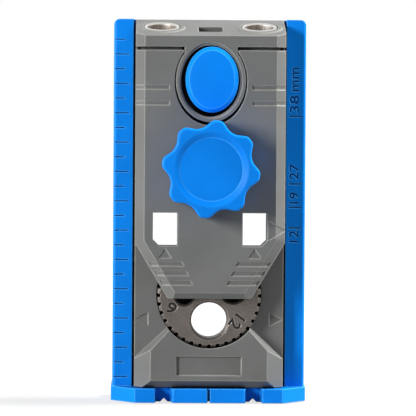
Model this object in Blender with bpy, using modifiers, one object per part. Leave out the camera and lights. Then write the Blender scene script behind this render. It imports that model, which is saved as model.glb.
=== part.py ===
# Pocket hole jig: a blue base frame with two rails, a grey carriage that slides between them,
# two slanted drill sleeves, a turret with dowel drill holes, a clamp knob and a release button.
# Units are metres. X is to the right, Z is up, and the workpiece lies against the back at Y = 0.
# The pieces are drawn as seen from the front: x, up, and rise, the height above the workpiece face.

import math

import bmesh
import bpy

MM = 0.001
GAP = 0.3 * MM  # air between two pieces that touch or slide

# Base frame
FRAME_HEIGHT = 130.0 * MM
RAIL_GAP = 0.8 * MM  # air between a rail and the carriage
RAIL_WIDTH = 6.65 * MM
RAIL_RISE = 12.5 * MM
RAIL_CORNER = 1.7 * MM
RAIL_CORNER_CUT = 1.02  # so that the rounding starts just clear of the rail
RAIL_EDGE = 0.9 * MM
PLATE_THICKNESS = 6.0 * MM
GROOVE_DEPTH = 1.6 * MM
GROOVE_RISE = 7.6 * MM
GROOVE_WIDTH = 2.6 * MM
CHANNEL_HALF_WIDTH = 7.0 * MM
CHANNEL_DEPTH = 4.0 * MM

# Foot and fence
FOOT_HEIGHT = 4.8 * MM
FOOT_LEDGE = 0.45 * MM  # of the foot beyond the rails
FOOT_FRONT_RISE = 23.0 * MM
FOOT_SIDE_RISE = 12.0 * MM
FOOT_BEVEL = 8.2 * MM
FENCE_REACH = 12.0 * MM
FENCE_CORNER = 2.5 * MM
FLUTE_HALF_WIDTH = 3.05 * MM
FLUTE_FLOOR_HALF_WIDTH = 1.15 * MM
FLUTE_DEPTH = 3.0 * MM
NOTCH_HALF_WIDTH = 1.25 * MM
NOTCH_HEIGHT = 1.2 * MM
SLIT_HALF_WIDTH = 0.45 * MM
SLIT_DEPTH = 1.2 * MM

# Carriage
SLEEVE_TO_SIDE = 8.8 * MM  # from a drill axis to the carriage's side
LOW_RISE = 16.5 * MM
FACE_RISE = 28.3 * MM
TILT = math.radians(15.0)  # of the drill axes, and so of the end face
TRAVEL = 38.0 * MM  # up from rest, the lowest place
TONGUE_END = 10.0 * MM  # from each end of the carriage to its tongues
SIDE_CHAMFER = 3.1 * MM
PARTING_DROP = 9.7 * MM  # from the top down to the line between the cover and the top block
PARTING_GAP = 0.85 * MM

# Drill sleeves
SLEEVE_X = 16.5 * MM  # half the distance between the two drill axes
SLEEVE_RADIUS = 6.05 * MM
SLEEVE_BORE = 4.75 * MM
SLEEVE_LENGTH = 40.0 * MM
SLEEVE_MOUTH = 0.6 * MM
SLEEVE_SET_BACK = 12.0 * MM  # along the end face, from its back edge to the drill axes
SLEEVE_PROUD = 0.55 * MM
COLLAR_RADIUS = 7.85 * MM
COLLAR_HEIGHT = 0.5 * MM
HOUSING_DROP = 42.0 * MM
HOUSING_HALF_WIDTH = 6.8 * MM
HOUSING_RISE = 24.5 * MM
END_POCKET_HALF_WIDTH = 4.1 * MM
END_POCKET_NEAR = 10.5 * MM
END_POCKET_FAR = 17.6 * MM
END_POCKET_DEPTH = 5.0 * MM

# Plateau round the turret
PLATEAU_RISE = 22.5 * MM
PLATEAU_SIDE = 5.5 * MM
PLATEAU_TOE = 2.4 * MM
PLATEAU_TOE_RISE = 2.9 * MM
PLATEAU_SHOULDER = 14.6 * MM
PLATEAU_CREST = 3.2 * MM  # from the shoulder of the sides up to the shoulder of the face
VALLEY_X = 11.0 * MM
VALLEY_HEIGHT = 28.0 * MM
VALLEY_FACE_DROP = 0.6 * MM
RECESS_HALF_WIDTH = 11.0 * MM
RECESS_LOW = 9.3 * MM
RECESS_HIGH = 15.7 * MM
RECESS_DEPTH = 0.8 * MM

# Turret
TURRET_Z = 36.3 * MM
TURRET_HUB = 2.3 * MM  # from the turret's centre to the drilling hole
TURRET_RIM = 3.2 * MM  # from the drilling hole to the rim
TURRET_THICKNESS = 9.5 * MM
TURRET_FACE_RISE = 22.0 * MM
TURRET_POCKET_GAP = 0.35 * MM
TURRET_EDGE = 0.5 * MM
HOLE_LOW = 12.0 * MM  # the drill that goes through it; this hole is at the drilling place
HOLE_RIGHT = 8.0 * MM
HOLE_HIGH = 10.0 * MM
HOLE_LEFT = 6.0 * MM
HOLE_RIGHT_ANGLE = 12.0
TURRET_COUNTERSINK = 0.5 * MM
TURRET_FLUTES = 36
TURRET_FLUTE_DEPTH = 0.8 * MM
TURRET_FLUTE_SHARE = 0.38
PIVOT_RADIUS = 1.3 * MM
PIVOT_COVER = 2.0 * MM  # metal left over the blind end of the turret's bore
DETENT_INSET = 4.3 * MM  # from the rim to the middle of the dimples
DETENT_RADIUS = 1.5 * MM
DETENT_ANGLE = 45.0
DETENT_DIMPLE_TIP = 0.3 * MM
DETENT_SPRING_LENGTH = 1.5 * MM
DETENT_SPRING_RADIUS = 0.9 * MM
DETENT_SPRING_WIRE = 0.2 * MM
DETENT_SPRING_TURNS = 3
DRILL_CLEARANCE = 0.6 * MM

# Front cover
COVER_WALL = 1.7 * MM
NOSE_RISE = 22.4 * MM
NOSE_SHOULDER = 54.3 * MM
NOSE_TIP = 35.6 * MM
NOSE_TIP_HALF_WIDTH = 14.2 * MM
NOSE_CHAMFER = 2.0 * MM
BEZEL_GAP = 0.45 * MM
BEZEL_OPENING_DROP = 0.15 * MM  # of the opening's middle below the bezel's
WINDOW_INSET = 1.4 * MM  # of a window's middle, from the drill axis towards the middle
WINDOW_HALF_WIDTH = 4.1 * MM
WINDOW_LOW = 53.3 * MM
WINDOW_HIGH = 64.5 * MM
WINDOW_CORNER = 1.9 * MM
WINDOW_WALL = 1.3 * MM
SLOT_MARGIN = 1.0 * MM  # by which the slots behind are larger than the windows
GRIP_BAR_DROPS = (24.05 * MM, 29.3 * MM)
GRIP_BAR_HEIGHT = 1.4 * MM
GRIP_BAR_TO_BEZEL = 2.15 * MM
BAR_DEPTH = 0.4 * MM
NOSE_BAR_LOWS = (46.55 * MM, 43.35 * MM, 40.15 * MM)
NOSE_BAR_HEIGHT = 1.5 * MM
NOSE_BAR_INNER = 9.0 * MM
NOSE_BAR_STEP = 1.5 * MM  # by which each bar starts further in than the one above
MARK_DEPTH = 0.3 * MM
MARK_WIDTH = 4.5 * MM
MARK_HEIGHT = 3.4 * MM
MARK_DROP = 0.7 * MM  # from a window down to the tip of its triangle
POINTER_HEIGHT = 4.7 * MM
POINTER_LENGTH = 4.4 * MM
POINTER_INSET = 0.25 * MM

# Button
BEZEL_DROP = 21.0 * MM  # from the top down to the middle of the bezel and the well
BUTTON_OFFSET_X = 0.35 * MM  # the button stands off the middle of its well
BUTTON_OFFSET_Z = 0.3 * MM
BUTTON_TO_SLEEVE = 7.63 * MM  # from a drill axis to the button's side
BUTTON_HALF_HEIGHT = 11.05 * MM
BUTTON_PROUD = 1.6 * MM
BUTTON_THICKNESS = 10.0 * MM
BUTTON_EDGE = 1.3 * MM
BUTTON_TRAVEL = 1.5 * MM
WELL_GAP = 0.8 * MM
WELL_FLOOR_RISE = 12.0 * MM
BEZEL_WIDTH = 2.1 * MM
BEZEL_STEP_WIDTH = 0.9 * MM
BEZEL_STEP = 0.45 * MM
STEM_RADIUS = 2.7 * MM
SPRING_RADIUS = 4.3 * MM
SPRING_WIRE = 0.45 * MM
SPRING_TURNS = 5

# Brake bar behind the plate
BRAKE_LENGTH = 30.0 * MM
BRAKE_OVERHANG = 9.0 * MM  # of the bar above the stem
BRAKE_SCREW_RADIUS = 1.2 * MM
BRAKE_SCREW_HEAD = 2.3 * MM
BRAKE_SCREW_LENGTH = 9.0 * MM

# Clamp
KNOB_DROP = 50.65 * MM
KNOB_LOBES = 8
KNOB_TIP = 16.4 * MM
KNOB_VALLEY = 14.1 * MM
KNOB_LOBE_TURN = -8.0
KNOB_LOBE_POWER = 1.25
KNOB_LOBE_BLUNT = 1.16
KNOB_HEIGHT = 11.1 * MM
KNOB_EDGE = 1.0 * MM
KNOB_DISH_RADIUS = 12.4 * MM
KNOB_DISH_FLOOR = 10.6 * MM
KNOB_DISH_DEPTH = 1.5 * MM
KNOB_HOLLOW_INNER = 7.6 * MM
KNOB_HOLLOW_OUTER = 11.6 * MM
KNOB_HOLLOW_DEPTH = 6.0 * MM
STUD_RADIUS = 2.95 * MM
STUD_GRIP = 6.5 * MM  # of the stud inside the knob
STUD_TAIL = 0.7 * MM  # from the stud's end to the workpiece face
WASHER_RADIUS = 7.4 * MM
WASHER_THICKNESS = 1.0 * MM
NUT_HALF_WIDTH = 6.6 * MM
NUT_HALF_LENGTH = 6.0 * MM
NUT_TRAVEL = 1.0 * MM  # towards the workpiece, as one turn of the knob lets it go
BOSS_WALL = 2.6 * MM

# Cover screws
SCREW_TO_HOUSING = 0.45 * MM
SCREW_OVER_WINDOW = 6.7 * MM  # from a window's foot up to the lower screws
SCREW_DROP = 39.0 * MM  # from the top down to the upper screws
SCREW_RADIUS = 1.45 * MM
SCREW_HEAD_RADIUS = 2.7 * MM
SCREW_HEAD_HEIGHT = 2.0 * MM
SCREW_LENGTH = 18.5 * MM
SCREW_POST_RADIUS = 3.2 * MM

# Worked out from the sizes above
OVER = 1.0 * MM  # by which a cutter runs past what it cuts
CARRIAGE_HALF_WIDTH = SLEEVE_X + SLEEVE_TO_SIDE
CARRIAGE_BACK_RISE = PLATE_THICKNESS + GAP
CARRIAGE_FOOT = FOOT_HEIGHT + GAP
RAIL_INNER = CARRIAGE_HALF_WIDTH + RAIL_GAP
FRAME_HALF_WIDTH = RAIL_INNER + RAIL_WIDTH
FOOT_HALF_WIDTH = FRAME_HALF_WIDTH + FOOT_LEDGE
FOOT_FACE_HALF_WIDTH = FOOT_HALF_WIDTH - FOOT_BEVEL
WINDOW_X = SLEEVE_X - WINDOW_INSET
WINDOW_INNER = WINDOW_X - WINDOW_HALF_WIDTH
WINDOW_OUTER = WINDOW_X + WINDOW_HALF_WIDTH
PARTING_HEIGHT = FRAME_HEIGHT - PARTING_DROP
HOUSING_BOTTOM = FRAME_HEIGHT - HOUSING_DROP
HOUSING_INNER = SLEEVE_X - HOUSING_HALF_WIDTH
HOUSING_OUTER = SLEEVE_X + HOUSING_HALF_WIDTH
BEZEL_Z = FRAME_HEIGHT - BEZEL_DROP
BUTTON_Z = BEZEL_Z + BUTTON_OFFSET_Z
BUTTON_HALF_WIDTH = SLEEVE_X - BUTTON_TO_SLEEVE
KNOB_Z = FRAME_HEIGHT - KNOB_DROP
SCREW_X = HOUSING_INNER - SCREW_POST_RADIUS - SCREW_TO_HOUSING
SCREW_HEIGHTS = (WINDOW_LOW + SCREW_OVER_WINDOW, FRAME_HEIGHT - SCREW_DROP)
COVER_TOP = PARTING_HEIGHT - PARTING_GAP
COVER_LOW_RISE = LOW_RISE + GAP
CEILING_RISE = FACE_RISE - COVER_WALL
DRILL_RADIUS = HOLE_LOW / 2
TURRET_HOLE_CIRCLE = TURRET_HUB + DRILL_RADIUS
TURRET_RADIUS = TURRET_HOLE_CIRCLE + DRILL_RADIUS + TURRET_RIM
DETENT_CIRCLE = TURRET_RADIUS - DETENT_INSET
TURRET_BACK_RISE = TURRET_FACE_RISE - TURRET_THICKNESS
POCKET_FLOOR_RISE = TURRET_BACK_RISE - GAP
POCKET_RADIUS = TURRET_RADIUS + TURRET_POCKET_GAP
DRILL_Z = TURRET_Z - TURRET_HOLE_CIRCLE
DRILLING_ANGLE = 270.0  # of the turret's hole that is in use
TURRET_HOLES = (
    (DRILLING_ANGLE, HOLE_LOW),
    (HOLE_RIGHT_ANGLE, HOLE_RIGHT),
    (90.0, HOLE_HIGH),
    (180.0, HOLE_LEFT),
)
BEZEL_HALF_WIDTH = BUTTON_HALF_WIDTH + WELL_GAP + BEZEL_WIDTH
BEZEL_HALF_HEIGHT = BUTTON_HALF_HEIGHT + WELL_GAP + BEZEL_WIDTH
GRIP_BAR_INNER = BEZEL_HALF_WIDTH + GRIP_BAR_TO_BEZEL
BUTTON_TOP_RISE = FACE_RISE + BUTTON_PROUD
BUTTON_BOTTOM_RISE = BUTTON_TOP_RISE - BUTTON_THICKNESS
BRAKE_TOP_RISE = CHANNEL_DEPTH - GAP
BRAKE_THICKNESS = BRAKE_TOP_RISE - GAP - BUTTON_TRAVEL
WASHER_RISE = FACE_RISE + GAP
KNOB_RISE = WASHER_RISE + WASHER_THICKNESS + GAP
NUT_TOP_RISE = CHANNEL_DEPTH - GAP
NUT_THICKNESS = NUT_TOP_RISE - GAP - NUT_TRAVEL
STUD_SLOT_HALF_WIDTH = STUD_RADIUS + GAP
AXIS_MOUTH_RISE = CARRIAGE_BACK_RISE + SLEEVE_SET_BACK * math.cos(TILT)
AXIS_MOUTH_Z = FRAME_HEIGHT - SLEEVE_SET_BACK * math.sin(TILT)
DRILL_RUN = (AXIS_MOUTH_RISE + SLEEVE_BORE / math.cos(TILT)) / math.tan(TILT)
DRILL_LOW = AXIS_MOUTH_Z - DRILL_RUN  # where the drill's front side meets the workpiece face

FRONT = (math.pi / 2, 0.0, 0.0)  # turns x, y, z into x, up and rise
DRILL = (TILT, 0.0, 0.0)  # turns z along the drill axes, out of the end face


def clear_scene():
    for old in list(bpy.data.objects):
        bpy.data.objects.remove(old, do_unlink=True)


def new_collection(name, hidden=False):
    collection = bpy.data.collections.new(name)
    collection.hide_render = hidden
    bpy.context.scene.collection.children.link(collection)
    return collection


clear_scene()
parts = new_collection("pocket_hole_jig")
cutters = new_collection("cutters", hidden=True)


def material(name, color, roughness, metallic=0.0):
    made = bpy.data.materials.new(name)
    made.use_nodes = True
    shader = made.node_tree.nodes["Principled BSDF"]
    shader.inputs["Base Color"].default_value = (*color, 1.0)
    shader.inputs["Roughness"].default_value = roughness
    shader.inputs["Metallic"].default_value = metallic
    made.diffuse_color = (*color, 1.0)
    return made


def add_object(name, mesh, turn=FRONT, place=(0.0, 0.0, 0.0)):
    """A cutter until finish() makes it a part."""
    made = bpy.data.objects.new(name, mesh)
    made.rotation_euler = turn
    made.location = place
    made.hide_render = True
    made.display_type = "WIRE"
    cutters.objects.link(made)
    return made


def mesh_from(bm, name):
    mesh = bpy.data.meshes.new(name)
    bm.to_mesh(mesh)
    bm.free()
    return mesh


# Shapes

def block(name, x, up, rise, turn=FRONT, place=(0.0, 0.0, 0.0)):
    """A box between two values of x, of up and of rise."""
    bm = bmesh.new()
    bmesh.ops.create_cube(bm, size=1.0)
    size = (x[1] - x[0], up[1] - up[0], rise[1] - rise[0])
    middle = ((x[0] + x[1]) / 2, (up[0] + up[1]) / 2, (rise[0] + rise[1]) / 2)
    bmesh.ops.scale(bm, vec=size, verts=bm.verts)
    bmesh.ops.translate(bm, vec=middle, verts=bm.verts)
    return add_object(name, mesh_from(bm, name), turn, place)


def rod(name, radius, low, high, sides=32, turn=FRONT, place=(0.0, 0.0, 0.0), tip=None):
    """A cylinder, or a cone whose far end has the radius tip."""
    bm = bmesh.new()
    bmesh.ops.create_cone(
        bm,
        cap_ends=True,
        segments=sides,
        radius1=radius,
        radius2=radius if tip is None else tip,
        depth=high - low,
    )
    bmesh.ops.translate(bm, vec=(0.0, 0.0, (low + high) / 2), verts=bm.verts)
    return add_object(name, mesh_from(bm, name), turn, place)


def turned(name, profile, sides=48, turn=FRONT, place=(0.0, 0.0, 0.0)):
    """A profile of (radius, height) points, top to bottom, spun about the local Z axis."""
    bm = bmesh.new()
    points = [bm.verts.new((radius, 0.0, height)) for radius, height in profile]
    for first, second in zip(points, points[1:]):
        bm.edges.new((first, second))
    made = add_object(name, mesh_from(bm, name), turn, place)
    screw = made.modifiers.new("Turn", "SCREW")
    screw.steps = sides
    screw.render_steps = sides
    screw.use_merge_vertices = True
    screw.merge_threshold = 0.01 * MM
    return made


def panel(name, outlines, low, high, edge=0.0, turn=FRONT, place=(0.0, 0.0, 0.0)):
    """A flat outline, with any holes, between two heights; edge rounds its rims."""
    curve = bpy.data.curves.new(name, "CURVE")
    curve.dimensions = "2D"
    curve.fill_mode = "BOTH"
    curve.extrude = (high - low) / 2 - edge
    curve.bevel_depth = edge
    curve.bevel_resolution = 2
    curve.offset = -edge
    for outline in outlines:
        spline = curve.splines.new("POLY")
        spline.points.add(len(outline) - 1)
        for point, (x, y) in zip(spline.points, outline):
            point.co = (x, y, 0.0, 1.0)
        spline.use_cyclic_u = True
    guide = bpy.data.objects.new(name + "_outline", curve)
    cutters.objects.link(guide)
    bpy.context.view_layer.update()
    graph = bpy.context.evaluated_depsgraph_get()
    mesh = bpy.data.meshes.new_from_object(guide.evaluated_get(graph))
    bpy.data.objects.remove(guide, do_unlink=True)
    bm = bmesh.new()
    bm.from_mesh(mesh)
    bmesh.ops.remove_doubles(bm, verts=bm.verts, dist=0.001 * MM)
    bmesh.ops.translate(bm, vec=(0.0, 0.0, (low + high) / 2), verts=bm.verts)
    bmesh.ops.recalc_face_normals(bm, faces=bm.faces)
    bm.to_mesh(mesh)
    bm.free()
    return add_object(name, mesh, turn, place)


def loft(name, rings, turn=FRONT, place=(0.0, 0.0, 0.0)):
    """A solid through outlines of as many points each, every one at its own rise."""
    bm = bmesh.new()
    loops = []
    for rise, outline in rings:
        loops.append([bm.verts.new((x, y, rise)) for x, y in outline])
    for lower, upper in zip(loops, loops[1:]):
        for i in range(len(lower)):
            j = (i + 1) % len(lower)
            bm.faces.new((lower[i], lower[j], upper[j], upper[i]))
    bm.faces.new(loops[0][::-1])
    bm.faces.new(loops[-1])
    bmesh.ops.recalc_face_normals(bm, faces=bm.faces)
    return add_object(name, mesh_from(bm, name), turn, place)


def coil(name, radius, wire, low, high, turns, place):
    """A compression spring between two rises."""
    steps = 12
    curve = bpy.data.curves.new(name, "CURVE")
    curve.dimensions = "3D"
    curve.bevel_depth = wire
    curve.bevel_resolution = 1
    curve.use_fill_caps = True
    spline = curve.splines.new("POLY")
    count = turns * steps
    spline.points.add(count)
    for i, point in enumerate(spline.points):
        angle = 2 * math.pi * i / steps
        height = low + wire + (high - low - 2 * wire) * i / count
        point.co = (radius * math.cos(angle), radius * math.sin(angle), height, 1.0)
    made = bpy.data.objects.new(name, curve)
    made.rotation_euler = FRONT
    made.location = place
    cutters.objects.link(made)
    return made


# Outlines

def oval(half_width, half_height, count=48, up=0.0):
    angles = [2 * math.pi * i / count for i in range(count)]
    return [(half_width * math.cos(a), up + half_height * math.sin(a)) for a in angles]


def arc(x, y, radius, start, end, steps):
    """Points on a circle between two angles in degrees."""
    angles = [math.radians(start + (end - start) * i / steps) for i in range(steps + 1)]
    return [(x + radius * math.cos(a), y + radius * math.sin(a)) for a in angles]


def long_slot(half_width, low, high, steps=10):
    """A slot with round ends, up the middle."""
    top = arc(0.0, high - half_width, half_width, 0.0, 180.0, steps)
    bottom = arc(0.0, low + half_width, half_width, 180.0, 360.0, steps)
    return top + bottom


def inset(outline, gaps):
    """An anticlockwise outline moved inwards, each side by its own distance."""
    count = len(outline)
    lines = []
    for i in range(count):
        x0, y0 = outline[i]
        x1, y1 = outline[(i + 1) % count]
        length = math.hypot(x1 - x0, y1 - y0)
        normal = (-(y1 - y0) / length, (x1 - x0) / length)
        lines.append((normal, normal[0] * x0 + normal[1] * y0 + gaps[i]))
    moved = []
    for i in range(count):
        (a, b), c = lines[i - 1]
        (d, e), f = lines[i]
        scale = a * e - b * d
        moved.append(((c * e - b * f) / scale, (a * f - c * d) / scale))
    return moved


def mirrored(outline):
    return [(-x, y) for x, y in reversed(outline)]


# Booleans and finish

def change(target, tool, operation):
    step = target.modifiers.new(operation.title(), "BOOLEAN")
    step.operation = operation
    step.object = tool
    step.solver = "EXACT"


def cut(target, *tools):
    for tool in tools:
        change(target, tool, "DIFFERENCE")


def join(target, *tools):
    for tool in tools:
        change(target, tool, "UNION")


def finish(made, surface):
    """Moves an object from the cutters to the parts and gives it its material."""
    cutters.objects.unlink(made)
    parts.objects.link(made)
    made.hide_render = False
    made.display_type = "TEXTURED"
    made.data.materials.clear()
    made.data.materials.append(surface)
    if made.type == "MESH":
        made.data.shade_smooth()
        made.data.set_sharp_from_angle(angle=math.radians(30.0))
    return made


blue = material("blue_abs", (0.004, 0.19, 0.83), 0.42)
grey = material("grey_abs", (0.17, 0.17, 0.165), 0.5)
steel = material("polished_steel", (0.72, 0.71, 0.69), 0.2, 1.0)
turret_metal = material("sintered_steel", (0.3, 0.26, 0.23), 0.5, 1.0)
zinc = material("zinc_plated_steel", (0.6, 0.6, 0.58), 0.35, 1.0)


# Base frame

def base_section():
    """The section across the rails, seen from above: x, and rise towards the viewer."""
    rail_round = arc(FRAME_HALF_WIDTH - RAIL_EDGE, RAIL_RISE - RAIL_EDGE, RAIL_EDGE, 0.0, 90.0, 5)
    groove_top = GROOVE_RISE + GROOVE_WIDTH
    groove_x = RAIL_INNER + GROOVE_DEPTH
    right = [
        (CHANNEL_HALF_WIDTH, CHANNEL_DEPTH),
        (CHANNEL_HALF_WIDTH, 0.0),
        (FRAME_HALF_WIDTH, 0.0),
        *rail_round,
        (RAIL_INNER, RAIL_RISE),
        (RAIL_INNER, groove_top),
        (groove_x, groove_top),
        (groove_x, GROOVE_RISE),
        (RAIL_INNER, GROOVE_RISE),
        (RAIL_INNER, PLATE_THICKNESS),
    ]
    return right + mirrored(right)


def foot_outline():
    """The foot and fence seen from below: x, and rise towards the viewer."""
    corner_x = FOOT_HALF_WIDTH - FENCE_CORNER
    corner_y = FENCE_CORNER - FENCE_REACH
    right = [
        *arc(corner_x, corner_y, FENCE_CORNER, -90.0, 0.0, 4),
        (FOOT_HALF_WIDTH, FOOT_SIDE_RISE),
        (FOOT_FACE_HALF_WIDTH, FOOT_FRONT_RISE),
    ]
    return right + mirrored(right)


def foot_flutes():
    """The two flared flutes in the foot's front face, and the thin slit between them."""
    floor_rise = FOOT_FRONT_RISE - FLUTE_DEPTH
    spread = (FLUTE_HALF_WIDTH - FLUTE_FLOOR_HALF_WIDTH) * (FLUTE_DEPTH + OVER) / FLUTE_DEPTH
    flutes = []
    for side in (-1, 1):
        x = side * WINDOW_X
        mouth = FLUTE_FLOOR_HALF_WIDTH + spread
        outline = [
            (x - FLUTE_FLOOR_HALF_WIDTH, floor_rise),
            (x + FLUTE_FLOOR_HALF_WIDTH, floor_rise),
            (x + mouth, FOOT_FRONT_RISE + OVER),
            (x - mouth, FOOT_FRONT_RISE + OVER),
        ]
        flutes.append(from_above("foot_flute", outline, -OVER, FOOT_HEIGHT + OVER))
    slit = [
        (-SLIT_HALF_WIDTH, FOOT_FRONT_RISE - SLIT_DEPTH),
        (SLIT_HALF_WIDTH, FOOT_FRONT_RISE - SLIT_DEPTH),
        (SLIT_HALF_WIDTH, FOOT_FRONT_RISE + OVER),
        (-SLIT_HALF_WIDTH, FOOT_FRONT_RISE + OVER),
    ]
    flutes.append(from_above("foot_slit", slit, -OVER, FOOT_HEIGHT + OVER))
    return flutes


def from_above(name, outline, low, high):
    """A prism that stands upright: its outline holds x and rise, its ends are heights."""
    turned_over = [(x, -rise) for x, rise in reversed(outline)]
    return panel(name, [turned_over], low, high, turn=(0.0, 0.0, 0.0))


def sole_notch(x, half_width, height, back):
    """A V groove along the sole, from the front to the rise back, which marks a drill axis."""
    slope = half_width / height
    outline = [
        (x - slope * (height + OVER), -OVER),
        (x + slope * (height + OVER), -OVER),
        (x, height),
    ]
    return panel("sole_notch", [outline], back, FOOT_FRONT_RISE + OVER)


def corner_cutter(side):
    """What rounds a rail's outer top corner; it starts and ends just clear of the rail."""
    x = FRAME_HALF_WIDTH - RAIL_CORNER
    up = FRAME_HEIGHT - RAIL_CORNER
    outline = [
        *arc(x, up, RAIL_CORNER_CUT * RAIL_CORNER, 0.0, 90.0, 6)[::-1],
        (FRAME_HALF_WIDTH + OVER, up),
        (FRAME_HALF_WIDTH + OVER, FRAME_HEIGHT + OVER),
        (x, FRAME_HEIGHT + OVER),
    ]
    outline = outline if side > 0 else mirrored(outline)
    return panel("rail_corner", [outline], -OVER, RAIL_RISE + OVER)


def base_frame():
    frame = from_above("base_frame", base_section(), FOOT_HEIGHT / 2, FRAME_HEIGHT)
    for side in (-1, 1):
        cut(frame, corner_cutter(side))
    join(frame, from_above("foot", foot_outline(), 0.0, FOOT_HEIGHT))
    cut(frame, *foot_flutes())
    for side in (-1, 1):
        cut(frame, sole_notch(side * WINDOW_X, NOTCH_HALF_WIDTH, NOTCH_HEIGHT, -FENCE_REACH - OVER))
    cut(frame, sole_notch(0.0, NOTCH_HALF_WIDTH / 2, NOTCH_HEIGHT / 2, PLATE_THICKNESS / 2))
    through = (-OVER, PLATE_THICKNESS + OVER)
    slot_x = (WINDOW_INNER - SLOT_MARGIN / 2, SLEEVE_X + SLEEVE_BORE + SLOT_MARGIN)
    slot_up = (DRILL_LOW - SLOT_MARGIN, FRAME_HEIGHT - 3 * SLOT_MARGIN)
    for side in (-1, 1):
        x = sorted((side * slot_x[0], side * slot_x[1]))
        cut(frame, block("side_slot", x, slot_up, through))
    bore = DRILL_RADIUS + DRILL_CLEARANCE
    turret_slot = long_slot(bore, DRILL_Z - bore, DRILL_Z + TRAVEL + bore)
    cut(frame, panel("turret_slot", [turret_slot], *through))
    top = FRAME_HEIGHT + 2 * STUD_SLOT_HALF_WIDTH
    stud_slot = long_slot(STUD_SLOT_HALF_WIDTH, KNOB_Z - STUD_SLOT_HALF_WIDTH, top)
    cut(frame, panel("stud_slot", [stud_slot], *through))
    return finish(frame, blue)


# Carriage body

def end_face_cutter():
    """A box whose underside is the tilted end face."""
    place = (0.0, -CARRIAGE_BACK_RISE, FRAME_HEIGHT)
    wide = (-FRAME_HALF_WIDTH, FRAME_HALF_WIDTH)
    long = (-2 * FACE_RISE, FACE_RISE)
    return block("end_face", wide, long, (0.0, FACE_RISE), turn=DRILL, place=place)


def drill_place(side):
    """Where a drill axis meets the end face."""
    return (side * SLEEVE_X, -AXIS_MOUTH_RISE, AXIS_MOUTH_Z)


def plateau():
    side = CARRIAGE_HALF_WIDTH
    face_side = side - PLATEAU_SIDE
    right = [
        (side, CARRIAGE_FOOT),
        (side, PLATEAU_SHOULDER),
        (VALLEY_X, VALLEY_HEIGHT),
    ]
    face_right = [
        (face_side, CARRIAGE_FOOT + PLATEAU_TOE),
        (face_side, PLATEAU_SHOULDER + PLATEAU_CREST),
        (VALLEY_X, VALLEY_HEIGHT - VALLEY_FACE_DROP),
    ]
    toe_rise = PLATEAU_RISE - PLATEAU_TOE_RISE
    share = (toe_rise - LOW_RISE) / (PLATEAU_RISE - LOW_RISE)
    toe_right = [(a + share * (c - a), b + share * (d - b)) for (a, b), (c, d) in zip(right, face_right)]
    toe_right[0] = (toe_right[0][0], CARRIAGE_FOOT)
    outer = right + mirrored(right)
    toe = toe_right + mirrored(toe_right)
    face = face_right + mirrored(face_right)
    rings = [(LOW_RISE - OVER, outer), (LOW_RISE, outer), (toe_rise, toe), (PLATEAU_RISE, face)]
    return loft("plateau", rings)


def pointer(side, height, length, up, top_rise):
    """A shallow triangle that points to a rail."""
    tip = side * (CARRIAGE_HALF_WIDTH - POINTER_INSET)
    base = tip - side * length
    outline = [(tip, up), (base, up + height / 2), (base, up - height / 2)]
    return panel("pointer", [outline], top_rise - MARK_DEPTH, top_rise + OVER)


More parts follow.
